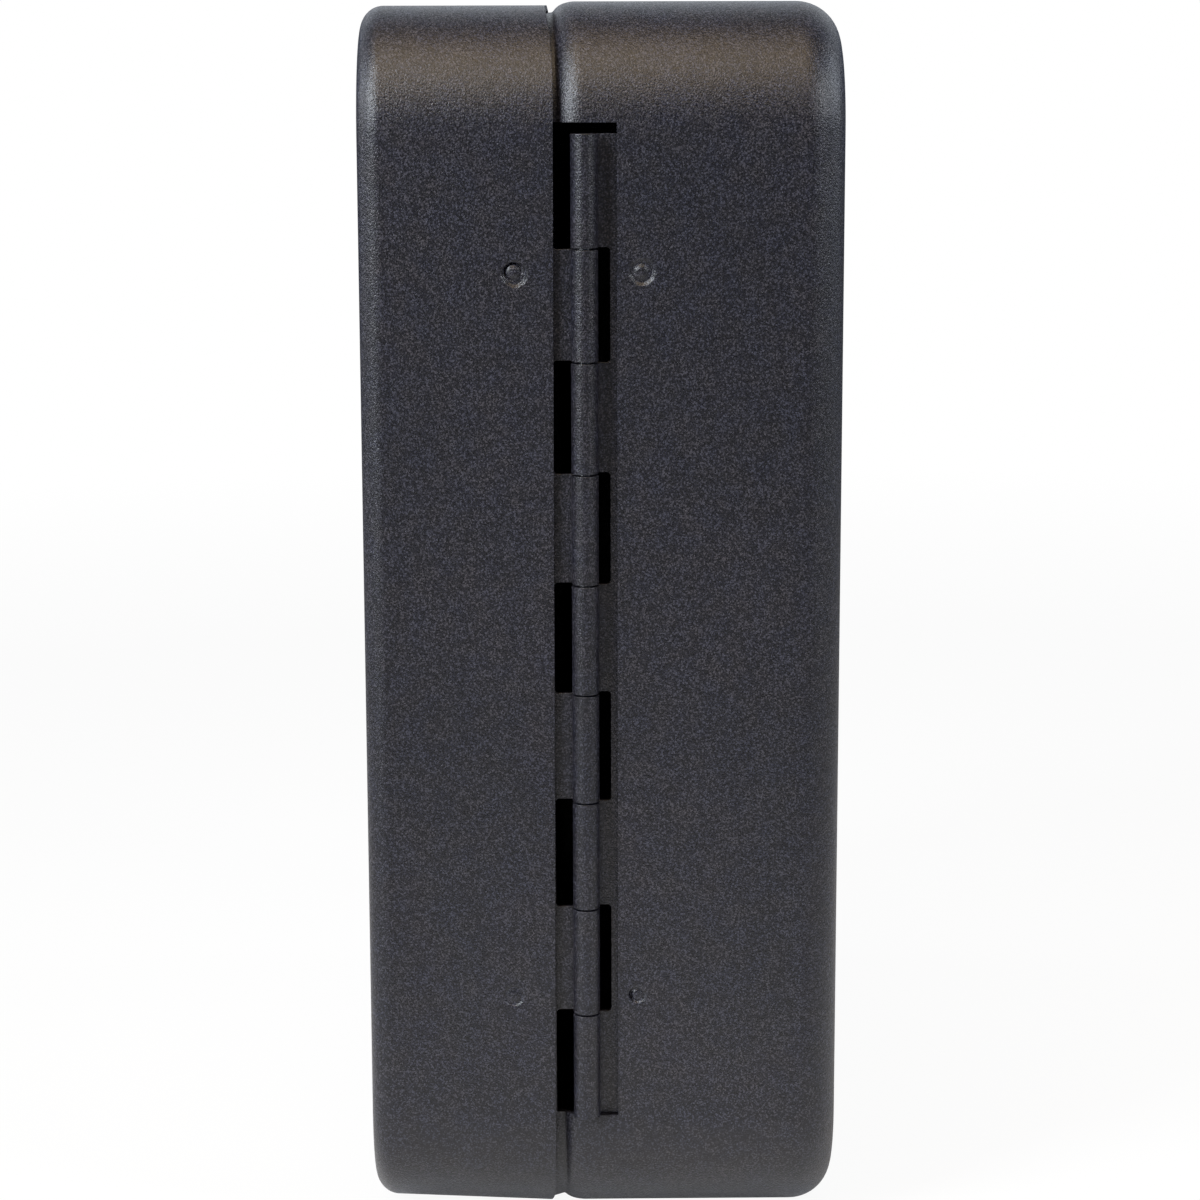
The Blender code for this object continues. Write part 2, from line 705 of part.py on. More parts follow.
def make_cam(parent):
    half_hole = drive_width / 2 + DRIVE_CLEARANCE
    mesh = flat_mesh("lock_cam", [cam_outline(), rectangle(half_hole, half_hole)], CAM_THICKNESS)
    new_object("lock_cam", mesh, ZINC, parent, (0, 0, (cam_front_z + cam_back_z) / 2))
    washer_top = cam_back_z - SEAT_GAP
    hole = circle(CAM_SCREW_RADIUS + CAM_SCREW_CLEARANCE)
    washer = flat_mesh("cam_washer", [circle(CAM_WASHER_RADIUS), hole], CAM_WASHER_THICKNESS)
    new_object("cam_washer", washer, ZINC, parent, (0, 0, washer_top - CAM_WASHER_THICKNESS / 2))
    head_top = washer_top - CAM_WASHER_THICKNESS - SEAT_GAP
    head_end = head_top - CAM_SCREW_HEAD_THICKNESS
    profile = [
        (0, head_top + CAM_SCREW_LENGTH),
        (CAM_SCREW_RADIUS, head_top + CAM_SCREW_LENGTH),
        (CAM_SCREW_RADIUS, head_top),
        (CAM_SCREW_HEAD_RADIUS, head_top),
        (CAM_SCREW_HEAD_RADIUS, head_end),
        (0, head_end),
    ]
    screw = new_object("cam_screw", turned_mesh("cam_screw", profile, False), ZINC, parent)
    slot = box_cutter(
        "cam_screw_slot",
        (-CAM_SCREW_SLOT_WIDTH / 2, -CAM_SCREW_HEAD_RADIUS - CUT_OVERRUN, head_end - CUT_OVERRUN),
        (
            CAM_SCREW_SLOT_WIDTH / 2,
            CAM_SCREW_HEAD_RADIUS + CUT_OVERRUN,
            head_end + CAM_SCREW_SLOT_DEPTH,
        ),
        parent,
    )
    cut(screw, slot)


def make_hook_strip(name, seat_y, side, row_z, parent=None):
    """A strip welded to the sheet at seat_y, whose lower edge is cut into hooks that reach towards side."""
    middle = STRIP_SHEET / 2
    top = STRIP_HEIGHT / 2
    tab_z = -STRIP_HEIGHT / 2 + middle
    tip = side * (HOOK_REACH - middle)
    corners = [
        (side * middle, top),
        (side * middle, tab_z),
        (tip, tab_z),
        (tip, tab_z - middle + HOOK_RISE),
    ]
    outline = sheet_section(bent_path(corners, HOOK_BEND_RADIUS), STRIP_SHEET)
    mesh = flat_mesh(name, [outline], strip_width)
    place = local_place(parent, (0, seat_y + side * SEAT_GAP, row_z))
    strip = new_object(name, mesh, PAINT, parent, place)
    strip.rotation_euler = (math.pi / 2, 0, math.pi / 2)
    far = side * (HOOK_REACH + CUT_OVERRUN)
    through = sorted((-side * CUT_OVERRUN, far))
    ahead = sorted((side * (STRIP_SHEET + CUT_OVERRUN), far))
    edge = -STRIP_HEIGHT / 2 + STRIP_SHEET + HOOK_BEND_RADIUS
    for index in range(hook_count + 1):
        left = (index - 1) * hook_pitch - hook_span / 2 + HOOK_WIDTH / 2
        right = left + hook_pitch - HOOK_WIDTH
        if index == 0:
            left = -strip_width / 2 - CUT_OVERRUN
        if index == hook_count:
            right = strip_width / 2 + CUT_OVERRUN
        below = box_cutter(
            f"{name}_gap_{index + 1}",
            (left, through[0], -STRIP_HEIGHT / 2 - CUT_OVERRUN),
            (right, through[1], edge),
            parent,
            place,
        )
        cut(strip, below)
        tips = box_cutter(
            f"{name}_tip_gap_{index + 1}",
            (left, ahead[0], edge - CUT_OVERRUN),
            (right, ahead[1], HOOK_RISE),
            parent,
            place,
        )
        cut(strip, tips)
    label_y = side * (STRIP_SHEET + SEAT_GAP)
    label_name = name.replace("hook_strip", "label")
    label_low = sorted((label_y, label_y + side * LABEL_THICKNESS))
    label_mesh = box_mesh(
        label_name,
        (LABEL_MARGIN - strip_width / 2, label_low[0], top - LABEL_MARGIN - LABEL_HEIGHT),
        (strip_width / 2 - LABEL_MARGIN, label_low[1], top - LABEL_MARGIN),
    )
    new_object(label_name, label_mesh, CARD, parent, place)


def make_cabinet():
    hinge_axis = new_axis("hinge_axis", (axis_x, axis_y, HINGE_RAISE))
    lock_place = Vector((lock_x, front_y, 0)) - hinge_axis.location
    lock_axis = new_axis("lock_axis", lock_place, (math.pi / 2, 0, 0), hinge_axis)
    make_body_shell()
    make_door_shell(hinge_axis)
    make_leaf("body_hinge_leaf", 1, 1, None, hinge_axis.location)
    make_leaf("door_hinge_leaf", -1, 0, hinge_axis, (0, 0, 0))
    pin = rod_mesh("hinge_pin", PIN_RADIUS, -hinge_length / 2, hinge_length / 2)
    new_object("hinge_pin", pin, STEEL, None, hinge_axis.location)
    make_keeper()
    make_lock_barrel(lock_axis)
    make_lock_plug(lock_axis)
    make_lock_fixings(lock_axis)
    make_cam(lock_axis)
    for row, row_z in (("upper", upper_row_z), ("lower", lower_row_z)):
        make_hook_strip(f"body_hook_strip_{row}", -SHEET, -1, row_z)
        make_hook_strip(f"door_hook_strip_{row}", front_y + SHEET, 1, row_z, hinge_axis)


for old in list(bpy.data.objects):
    bpy.data.objects.remove(old, do_unlink=True)
parts = new_collection("key_cabinet")
cutters = new_collection("cutters")
make_cabinet()
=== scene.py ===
import json
import math

import bmesh
import bpy
import numpy as np
from mathutils import Matrix, Vector


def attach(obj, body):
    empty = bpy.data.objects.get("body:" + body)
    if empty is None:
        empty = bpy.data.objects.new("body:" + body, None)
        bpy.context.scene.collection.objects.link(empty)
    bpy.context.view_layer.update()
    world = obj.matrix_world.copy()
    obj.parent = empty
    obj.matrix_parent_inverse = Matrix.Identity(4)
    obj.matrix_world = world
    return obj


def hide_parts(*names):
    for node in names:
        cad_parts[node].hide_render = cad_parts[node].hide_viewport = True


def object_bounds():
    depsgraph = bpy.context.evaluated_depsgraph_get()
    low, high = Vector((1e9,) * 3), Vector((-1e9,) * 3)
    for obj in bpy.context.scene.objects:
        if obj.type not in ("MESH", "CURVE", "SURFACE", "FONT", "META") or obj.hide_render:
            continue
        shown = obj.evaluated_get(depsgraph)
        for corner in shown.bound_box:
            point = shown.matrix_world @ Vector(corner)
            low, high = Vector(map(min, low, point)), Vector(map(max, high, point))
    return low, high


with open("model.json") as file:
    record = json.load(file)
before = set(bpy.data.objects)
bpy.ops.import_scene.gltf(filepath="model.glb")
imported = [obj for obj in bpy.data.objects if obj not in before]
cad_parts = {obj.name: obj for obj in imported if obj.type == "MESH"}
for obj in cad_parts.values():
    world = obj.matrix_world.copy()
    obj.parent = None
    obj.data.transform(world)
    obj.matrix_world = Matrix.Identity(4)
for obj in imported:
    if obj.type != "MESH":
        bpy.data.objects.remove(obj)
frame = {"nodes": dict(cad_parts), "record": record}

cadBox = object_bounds()
nodes = frame["nodes"]
scene = bpy.context.scene
print("stage: frame loaded,", len(nodes), "nodes")

# Camera: low tele view of the hinge side, a little above the cabinet's top
camera = {
    "place": (0.56556, -0.04518, 0.0994),
    "pitch": 10.802,
    "yaw": 0.765,
    "roll": -0.147,
    "focal": 3117.8,
    "frame": 1200.0,
    "sensor": 36.0,
    "clip": (0.01, 50.0),
}


def makeCamera(spec):
    pitch, yaw, roll = (math.radians(spec[key]) for key in ("pitch", "yaw", "roll"))
    level = math.cos(pitch)
    forward = Vector((-level * math.cos(yaw), level * math.sin(yaw), -math.sin(pitch)))
    side = forward.cross(Vector((0, 0, 1))).normalized()
    up = side.cross(forward)
    right = side * math.cos(roll) + up * math.sin(roll)
    top = up * math.cos(roll) - side * math.sin(roll)
    data = bpy.data.cameras.new("camera")
    data.sensor_fit = "HORIZONTAL"
    data.sensor_width = spec["sensor"]
    data.lens = spec["focal"] / spec["frame"] * spec["sensor"]
    data.clip_start, data.clip_end = spec["clip"]
    obj = bpy.data.objects.new("camera", data)
    turn = Matrix((right, top, -forward)).transposed().to_4x4()
    obj.matrix_world = Matrix.Translation(spec["place"]) @ turn
    scene.collection.objects.link(obj)
    scene.camera = obj


makeCamera(camera)
print("stage: camera")


# Meshes from arrays of points
def newObject(name, mesh):
    obj = bpy.data.objects.new(name, mesh)
    scene.collection.objects.link(obj)
    return obj


# A mesh whose faces all look outwards
def meshFrom(name, points, faces):
    mesh = bpy.data.meshes.new(name)
    mesh.from_pydata(np.asarray(points).tolist(), [], [list(map(int, face)) for face in faces])
    shape = bmesh.new()
    shape.from_mesh(mesh)
    bmesh.ops.recalc_face_normals(shape, faces=shape.faces)
    shape.to_mesh(mesh)
    shape.free()
    return mesh


# Quads between the rows of a grid of rows x columns points, which may close on itself either way
def gridFaces(rows, columns, closeRows=False, closeColumns=False):
    i = np.arange(rows if closeRows else rows - 1)[:, None]
    j = np.arange(columns if closeColumns else columns - 1)[None, :]
    below, beside = (i + 1) % rows, (j + 1) % columns
    corners = (i * columns + j, i * columns + beside, below * columns + beside, below * columns + j)
    return np.stack(np.broadcast_arrays(*corners), axis=-1).reshape(-1, 4)


# Points from one angle to another on a circle
def arcPoints(center, radius, start, end, steps):
    turn = np.linspace(start, end, steps + 1)
    return np.column_stack([center[0] + radius * np.cos(turn), center[1] + radius * np.sin(turn)])


# A polyline moved sideways: each point goes along the mean of its two sides' normals, over the cosine between
def offsetPath(path, distance):
    ahead = np.diff(path, axis=0)
    ahead /= np.linalg.norm(ahead, axis=1)[:, None]
    before, after = np.vstack([ahead[:1], ahead]), np.vstack([ahead, ahead[-1:]])
    along = before + after
    along /= np.linalg.norm(along, axis=1)[:, None]
    normal = np.column_stack([along[:, 1], -along[:, 0]]) / (along * after).sum(axis=1)[:, None]
    return path + distance * normal


# A polyline with its inner corners rounded: the arc's centre lies on the corner's bisector
def roundedPath(corners, radii, steps=6):
    corners = np.asarray(corners, float)
    path = [corners[:1]]
    for before, corner, after, radius in zip(corners, corners[1:], corners[2:], radii):
        back = (before - corner) / np.linalg.norm(before - corner)
        front = (after - corner) / np.linalg.norm(after - corner)
        half = math.acos(np.clip(back @ front, -1, 1)) / 2
        bisector = (back + front) / np.linalg.norm(back + front)
        center = corner + bisector * radius / math.sin(half)
        first = corner + back * radius / math.tan(half) - center
        last = corner + front * radius / math.tan(half) - center
        start = math.atan2(first[1], first[0])
        turn = math.atan2(first[0] * last[1] - first[1] * last[0], first @ last)
        path.append(arcPoints(center, radius, start, start + turn, steps))
    path.append(corners[-1:])
    return np.vstack(path)


def applyModifiers(obj):
    graph = bpy.context.evaluated_depsgraph_get()
    mesh = bpy.data.meshes.new_from_object(obj.evaluated_get(graph))
    old = obj.data
    obj.modifiers.clear()
    obj.data = mesh
    bpy.data.meshes.remove(old)


def cutAway(obj, cutters, operation="DIFFERENCE"):
    for cutter in cutters:
        modifier = obj.modifiers.new(cutter.name, "BOOLEAN")
        modifier.operation = operation
        modifier.solver = "EXACT"
        modifier.object = cutter
    applyModifiers(obj)
    for cutter in cutters:
        mesh = cutter.data
        bpy.data.objects.remove(cutter, do_unlink=True)
        bpy.data.meshes.remove(mesh)


# Rounded edges and even flat faces
def finishEdges(obj, width, segments=3, limit=50):
    bevel = obj.modifiers.new("edges", "BEVEL")
    bevel.width = width
    bevel.segments = segments
    bevel.limit_method = "ANGLE"
    bevel.angle_limit = math.radians(limit)
    applyModifiers(obj)
    evenShading(obj, limit)


def evenShading(obj, limit=50):
    obj.data.shade_smooth()
    obj.data.set_sharp_from_angle(angle=math.radians(limit))
    normals = obj.modifiers.new("normals", "WEIGHTED_NORMAL")
    normals.keep_sharp = True
    applyModifiers(obj)


# A finished piece has the finish of its slot, unless another one is named
def place(obj, body, slot, *replaced, finish=None):
    obj.data.materials.clear()
    obj.data.materials.append(finishes[finish or slot])
    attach(obj, body)
    if replaced:
        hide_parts(*replaced)


# The axis that a prism goes along
alongX, alongY, alongZ = 0, 1, 2


# A closed outline in two coordinates, carried from low to high along the third
def prismMesh(name, outline, low, high, axis):
    outline = np.asarray(outline)
    count = len(outline)
    points = np.empty((2, count, 3))
    others = [k for k in range(3) if k != axis]
    points[..., others[0]], points[..., others[1]] = outline[:, 0], outline[:, 1]
    points[0, :, axis], points[1, :, axis] = low, high
    ends = [list(range(count)), list(range(count, 2 * count))]
    return meshFrom(name, points.reshape(-1, 3), list(gridFaces(2, count, closeColumns=True)) + ends)


def boxCutter(name, low, high):
    corners = [(low[0], low[1]), (high[0], low[1]), (high[0], high[1]), (low[0], high[1])]
    return newObject(name, prismMesh(name, corners, low[2], high[2], alongZ))


# The same path with no side longer than the step
def densePath(path, step):
    rows = [path[:1]]
    for start, end in zip(path, path[1:]):
        count = max(1, math.ceil(np.linalg.norm(end - start) / step))
        rows.append(start + (end - start) * np.linspace(0, 1, count + 1)[1:, None])
    return np.vstack(rows)


# A profile of (radius, height) points turned round an axis: u = r cos t and v = r sin t across it and w along
# it. A closed profile makes a ring, an open one a rod with flat ends
def turnedMesh(name, profile, steps, placed, closed=False, shaped=None):
    profile = np.asarray(profile)
    turn = np.linspace(0, 2 * math.pi, steps, endpoint=False)[None, :]
    r, w = profile[:, :1] + 0 * turn, profile[:, 1:] + 0 * turn
    u, v, w = shaped(r, turn, w) if shaped else (r * np.cos(turn), r * np.sin(turn), w)
    rows = len(profile)
    faces = list(gridFaces(rows, steps, closeRows=closed, closeColumns=True))
    if not closed:
        faces += [list(range(steps)), list(range((rows - 1) * steps, rows * steps))]
    return meshFrom(name, placed(u, v, w).reshape(-1, 3), faces)


# Powder coat: charcoal, satin, granular, with a slight orange peel
powderCoat = {
    "darkSpeck": (0.0012, 0.0011, 0.0024),
    "color": (0.0084, 0.0082, 0.0134),
    "colorShare": 0.62,
    # light specks: partly the granules' own colour, partly painted glints standing in for the coat's sparkle
    "lightSpeckAndGlint": (0.045, 0.044, 0.057),
    "specular": 0.5,
    "roughness": 0.37,
    "roughnessSpread": 0.10,
    "speckScale": 4600.0,
    "grainScale": 3600.0,
    "grainHeight": 0.00010,
    "peelScale": 420.0,
    "peelHeight": 0.00003,
    "tintScale": 260.0,
    "tints": ((0.94, 0.98, 1.07), (1.07, 1.02, 0.94)),
    "patchScale": 34.0,
    "patches": ((0.90, 0.92, 0.95), (1.08, 1.06, 1.04)),
}

# The other surfaces: grain from noise stretched along one axis or turned in rings, and broad patches over it
surfaces = {
    "pin_steel": {
        "colors": ((0.24, 0.235, 0.23), (0.46, 0.46, 0.47)), "grain": 5000.0, "stretch": (1, 1, 0.03),
        "patchScale": 140.0, "patches": ((0.80, 0.78, 0.75), (1, 1, 1)),
        "roughness": (0.28, 0.50), "relief": 0.00001,
    },
    "lock_chrome": {
        "colors": ((0.64, 0.64, 0.67), (0.76, 0.76, 0.78)), "grain": 2200.0, "stretch": (1, 0.1, 1),
        "patchScale": 190.0, "patches": ((0.90, 0.91, 0.93), (1, 1, 1)),
        "roughness": (0.09, 0.22), "relief": 0.000002,
    },
    "plug_steel": {
        "colors": ((0.36, 0.36, 0.36), (0.56, 0.56, 0.57)), "grain": 5200.0, "rings": True,
        "patchScale": 260.0, "patches": ((0.86, 0.85, 0.82), (1, 1, 1)),
        "roughness": (0.26, 0.46), "relief": 0.00001,
    },
    "zinc_plate": {
        "colors": ((0.48, 0.48, 0.47), (0.62, 0.61, 0.57)), "grain": 1500.0, "stretch": (1, 1, 0.4),
        "patchScale": 170.0, "patches": ((0.86, 0.92, 0.98), (1.04, 0.99, 0.86)),
        "roughness": (0.30, 0.52), "relief": 0.00001,
    },
    "label_card": {
        "colors": ((0.78, 0.78, 0.75), (0.86, 0.86, 0.84)), "grain": 2400.0, "stretch": (0.25, 1, 1),
        "patchScale": 60.0, "patches": ((0.95, 0.94, 0.90), (1, 1, 1)),
        "roughness": (0.62, 0.80), "relief": 0.00001, "metallic": 0.0,
    },
    "print_ink": {
        "colors": ((0.012, 0.012, 0.015), (0.050, 0.050, 0.056)), "grain": 4200.0, "stretch": (1, 1, 1),
        "patchScale": 120.0, "patches": ((0.9, 0.9, 0.9), (1.2, 1.2, 1.2)),
        "roughness": (0.45, 0.70), "relief": 0.000002, "metallic": 0.0,
    },
}

# Noise values that take the first and the last tone, in broad patches and in fine grain
patchSpan = (0.35, 0.65)
grainSpan = (0.3, 0.7)


def newMaterial(name):
    material = bpy.data.materials.new(name)
    material.use_nodes = True
    tree = material.node_tree
    tree.nodes.clear()
    return material, tree


def addNode(tree, kind, **values):
    node = tree.nodes.new(kind)
    for key, value in values.items():
        setattr(node, key, value)
    return node


def noiseOn(tree, spot, scale, detail=2):
    noise = addNode(tree, "ShaderNodeTexNoise")
    noise.inputs["Scale"].default_value = scale
    noise.inputs["Detail"].default_value = detail
    tree.links.new(spot, noise.inputs["Vector"])
    return noise.outputs["Fac"]


def rampOn(tree, fac, stops):
    ramp = addNode(tree, "ShaderNodeValToRGB")
    elements = ramp.color_ramp.elements
    while len(elements) < len(stops):
        elements.new(0.5)
    for element, (position, color) in zip(elements, stops):
        element.position = position
        element.color = (*color, 1)
    tree.links.new(fac, ramp.inputs["Fac"])
    return ramp.outputs["Color"]


def rangeOn(tree, fac, fromLow, fromHigh, toLow, toHigh):
    span = addNode(tree, "ShaderNodeMapRange")
    for key, value in zip(("From Min", "From Max", "To Min", "To Max"), (fromLow, fromHigh, toLow, toHigh)):
        span.inputs[key].default_value = value
    tree.links.new(fac, span.inputs["Value"])
    return span.outputs["Result"]


def bumpOn(tree, height, distance, under=None):
    bump = addNode(tree, "ShaderNodeBump")
    bump.inputs["Distance"].default_value = distance
    tree.links.new(height, bump.inputs["Height"])
    if under:
        tree.links.new(under, bump.inputs["Normal"])
    return bump.outputs["Normal"]


# One colour times another
def timesColor(tree, first, second):
    mix = addNode(tree, "ShaderNodeMix", data_type="RGBA", blend_type="MULTIPLY")
    mix.inputs[0].default_value = 1.0
    tree.links.new(first, mix.inputs[6])
    tree.links.new(second, mix.inputs[7])
    return mix.outputs[2]


def powderCoatMaterial(name, spec):
    material, tree = newMaterial(name)
    output = addNode(tree, "ShaderNodeOutputMaterial")
    shader = addNode(tree, "ShaderNodeBsdfPrincipled")
    spot = addNode(tree, "ShaderNodeTexCoord").outputs["Object"]
    granules = addNode(tree, "ShaderNodeTexVoronoi")
    granules.inputs["Scale"].default_value = spec["speckScale"]
    split = addNode(tree, "ShaderNodeSeparateColor")
    link = tree.links.new
    link(spot, granules.inputs["Vector"])
    link(granules.outputs["Color"], split.inputs["Color"])
    grain = noiseOn(tree, spot, spec["grainScale"])
    peel = noiseOn(tree, spot, spec["peelScale"])
    tint = noiseOn(tree, spot, spec["tintScale"])
    patch = noiseOn(tree, spot, spec["patchScale"], detail=3)
    # the speck ramp runs from dark granules through the coat's colour to light specks that are partly painted
    # glints
    stops = ((0.0, spec["darkSpeck"]), (spec["colorShare"], spec["color"]), (1.0, spec["lightSpeckAndGlint"]))
    color = rampOn(tree, split.outputs["Red"], stops)
    for fac, tones in ((tint, spec["tints"]), (patch, spec["patches"])):
        color = timesColor(tree, color, rampOn(tree, fac, tuple(zip(patchSpan, tones))))
    low, high = spec["roughness"] - spec["roughnessSpread"], spec["roughness"] + spec["roughnessSpread"]
    peeled = bumpOn(tree, peel, spec["peelHeight"])
    shader.inputs["Specular IOR Level"].default_value = spec["specular"]
    link(color, shader.inputs["Base Color"])
    link(rangeOn(tree, grain, *grainSpan, low, high), shader.inputs["Roughness"])
    link(bumpOn(tree, grain, spec["grainHeight"], peeled), shader.inputs["Normal"])
    link(shader.outputs[0], output.inputs[0])
    return material


# Distance from the lock's axis, as a one-dimensional noise's place, gives turned rings
def ringNoise(tree, spot, scale):
    apart = addNode(tree, "ShaderNodeVectorMath", operation="SUBTRACT")
    flat = addNode(tree, "ShaderNodeVectorMath", operation="MULTIPLY")
    length = addNode(tree, "ShaderNodeVectorMath", operation="LENGTH")
    noise = addNode(tree, "ShaderNodeTexNoise", noise_dimensions="1D")
    apart.inputs[1].default_value = lockCenter
    flat.inputs[1].default_value = (1, 0, 1)
    noise.inputs["Scale"].default_value = scale
    noise.inputs["Detail"].default_value = 2
    tree.links.new(spot, apart.inputs[0])
    tree.links.new(apart.outputs[0], flat.inputs[0])
    tree.links.new(flat.outputs[0], length.inputs[0])
    tree.links.new(length.outputs["Value"], noise.inputs["W"])
    return noise.outputs["Fac"]


def surfaceMaterial(name, spec):
    material, tree = newMaterial(name)
    output = addNode(tree, "ShaderNodeOutputMaterial")
    shader = addNode(tree, "ShaderNodeBsdfPrincipled")
    spot = addNode(tree, "ShaderNodeTexCoord").outputs["Object"]
    link = tree.links.new
    if spec.get("rings"):
        grain = ringNoise(tree, spot, spec["grain"])
    else:
        stretch = addNode(tree, "ShaderNodeVectorMath", operation="MULTIPLY")
        stretch.inputs[1].default_value = spec["stretch"]
        link(spot, stretch.inputs[0])
        grain = noiseOn(tree, stretch.outputs[0], spec["grain"], detail=3)
    patch = noiseOn(tree, spot, spec["patchScale"], detail=3)
    color = rampOn(tree, grain, tuple(zip(grainSpan, spec["colors"])))
    tone = rampOn(tree, patch, tuple(zip(patchSpan, spec["patches"])))
    link(timesColor(tree, color, tone), shader.inputs["Base Color"])
    link(rangeOn(tree, patch, *patchSpan, *spec["roughness"]), shader.inputs["Roughness"])
    link(bumpOn(tree, grain, spec["relief"]), shader.inputs["Normal"])
    shader.inputs["Metallic"].default_value = spec.get("metallic", 1.0)
    link(shader.outputs[0], output.inputs[0])
    return material


# The lock's middle on the door's face, for the rings on its plug, the hole in the door and the lock's pieces
lockCenter = (-0.0500, -0.0763, 0.0)

finishes = {
    "painted_steel": powderCoatMaterial("powderCoat", powderCoat),
    **{name: surfaceMaterial(name, spec) for name, spec in surfaces.items()},
}
print("stage: finishes")


# Case: two pressed pans of one sheet
case = {
    "halfWidth": 0.0800,
    "halfHeight": 0.1000,
    "bodyDepth": 0.0455,
    "doorDepth": 0.0308,
    "sheet": 0.0010,
    "corner": 0.0200,
    "backEdge": 0.0068,
    "frontEdge": 0.0038,
    "topDrop": 0.0006,
    "bottomDraft": 0.0014,
    "shoulder": 0.0049,
    "crease": 0.0009,
    "lipInset": 0.0020,
    "lipReach": 0.0055,
    "rimGap": 0.0011,
    "topLean": 0.0013,
    "topPower": 4,
    "bottomLean": 0.0014,
    "bottomPower": 8,
    "doorSlant": (0.00065, 0.00026),
    "bodySlant": (0.0, 0.00095),
    "lipSag": (0.46, 0.90),
    "sagReach": 0.0028,
    "wallHole": (0.058, 0.082),
    "wallHoleRadius": 0.0030,
    "lockHoleRadius": 0.0082,
    "lockHoleFlat": 0.0070,
    "holeSteps": 48,
    "cornerSteps": 36,
    "edgeSteps": 14,
    "creaseSteps": 4,
    "creaseSkip": 3,
    "edgeRound": 0.00032,
    "overrun": 0.0010,
}

# Hinge: nine rolled knuckles on two leaves
hinge = {
    "knuckles": 9,
    "length": 2 * (case["halfHeight"] - case["corner"] - 0.00045),
    "raise": 0.0004,
    "axis": (0.08015, -0.0410),
    "pinRadius": 0.0011,
    "bore": 0.00125,
    "outer": 0.00215,
    "curl": math.radians(295),
    "leafReach": 0.0160,
    "slotReach": {1: 0.0040, -1: 0.0049},
    "slotCorner": 0.0006,
    "knuckleGap": 0.0003,
    "notchReach": 0.0096,
    "notchTopGap": 0.0017,
    "notchBottomGap": 0.00004,
    "curlSteps": 72,
    "pinSteps": 48,
    "edgeRound": 0.00010,
    "endChamfer": 0.0002,
}
hingeTop = hinge["length"] / 2 + hinge["raise"]
hingeBottom = hingeTop - hinge["length"]


# Rounded case outline, drawn in by each row's inset: circle arcs of radius corner - inset round four centres.
# The joint isn't quite parallel: it moves to the front by slant[0] at the bottom and slant[1] at the top.
# Under the case the lip is drawn in less, by the share of lipSag, which grows from the crease to the front
def caseRings(path, low, high, rimY, endY, rise, slant):
    spec = case
    inset, y = path[:, :1], path[:, 1:]
    share = (y - rimY) / (endY - rimY)
    ahead = np.clip((spec["rimGap"] - spec["bodyDepth"] - y) / spec["sagReach"], 0, 1)
    sag = spec["lipSag"][0] + (spec["lipSag"][1] - spec["lipSag"][0]) * ahead
    low = low - np.where(np.abs(y + spec["bodyDepth"]) < spec["lipReach"] + spec["sheet"], inset * sag, 0)
    steps = spec["cornerSteps"]
    turn = (np.arange(4)[:, None] * math.pi / 2 + np.linspace(0, math.pi / 2, steps + 1)).ravel()[None, :]
    sideX = np.repeat([1, -1, -1, 1], steps + 1)[None, :] * (spec["halfWidth"] - spec["corner"])
    upper = np.repeat([True, True, False, False], steps + 1)[None, :]
    centerZ = np.where(upper, high - spec["corner"], low + rise * share + spec["corner"])
    radius = spec["corner"] - inset
    x = sideX + radius * np.cos(turn)
    z = centerZ + radius * np.sin(turn)
    climb = np.clip(1 - (high - z) / spec["corner"], 0, None)
    fall = np.clip(1 - (z - low) / spec["corner"], 0, None)
    forward = spec["topLean"] * climb ** spec["topPower"] + spec["bottomLean"] * fall ** spec["bottomPower"]
    forward = forward + slant[0] + (slant[1] - slant[0]) * (z + spec["halfHeight"]) / (2 * spec["halfHeight"])
    return np.stack([x, y - forward * (1 - share), z], axis=-1)


# A pan: the outlines of the inner path up to the rim, then of the outer path from it, with both ends filled
def panMesh(name, outer, inward, low, high, slant, rise=0.0):
    inner = offsetPath(outer, inward * case["sheet"])[::-1]
    rimY, endY = outer[0, 1], outer[-1, 1]
    outerRings = caseRings(outer, low, high, rimY, endY, rise, slant)
    innerRings = caseRings(inner, low, high, rimY, endY, rise, slant)
    rings = np.concatenate([innerRings, outerRings])
    rows, columns = rings.shape[:2]
    ends = [list(range(columns)), list(range((rows - 1) * columns, rows * columns))]
    return meshFrom(name, rings.reshape(-1, 3), list(gridFaces(rows, columns, closeColumns=True)) + ends)


# Body path: up the lip, round the crease and the shoulder, along the wall and round the back edge
def bodyPath():
    spec = case
    turn = math.acos(1 - spec["lipInset"] / spec["shoulder"])
    foot = spec["rimGap"] - spec["bodyDepth"]
    center = (spec["shoulder"], foot + spec["shoulder"] * math.sin(turn))
    over = arcPoints(center, spec["shoulder"], math.pi + turn, math.pi, spec["edgeSteps"])
    start = (spec["lipInset"], -spec["bodyDepth"] - spec["lipReach"])
    skip = spec["creaseSkip"]
    crease = roundedPath([start, over[0], over[skip]], [spec["crease"]], spec["creaseSteps"])
    crease = densePath(crease, spec["sagReach"] / spec["creaseSteps"])
    back = spec["backEdge"]
    edge = arcPoints((back, -back), back, math.pi, math.pi / 2, spec["edgeSteps"])
    return np.vstack([crease, over[skip + 1:], edge])


# Door path: along the wall from the rim and round the front edge
def doorPath():
    spec = case
    front = -spec["bodyDepth"] - spec["doorDepth"]
    center = (spec["frontEdge"], front + spec["frontEdge"])
    edge = arcPoints(center, spec["frontEdge"], math.pi, 3 * math.pi / 2, spec["edgeSteps"])
    return np.vstack([[(0, -spec["bodyDepth"])], edge])


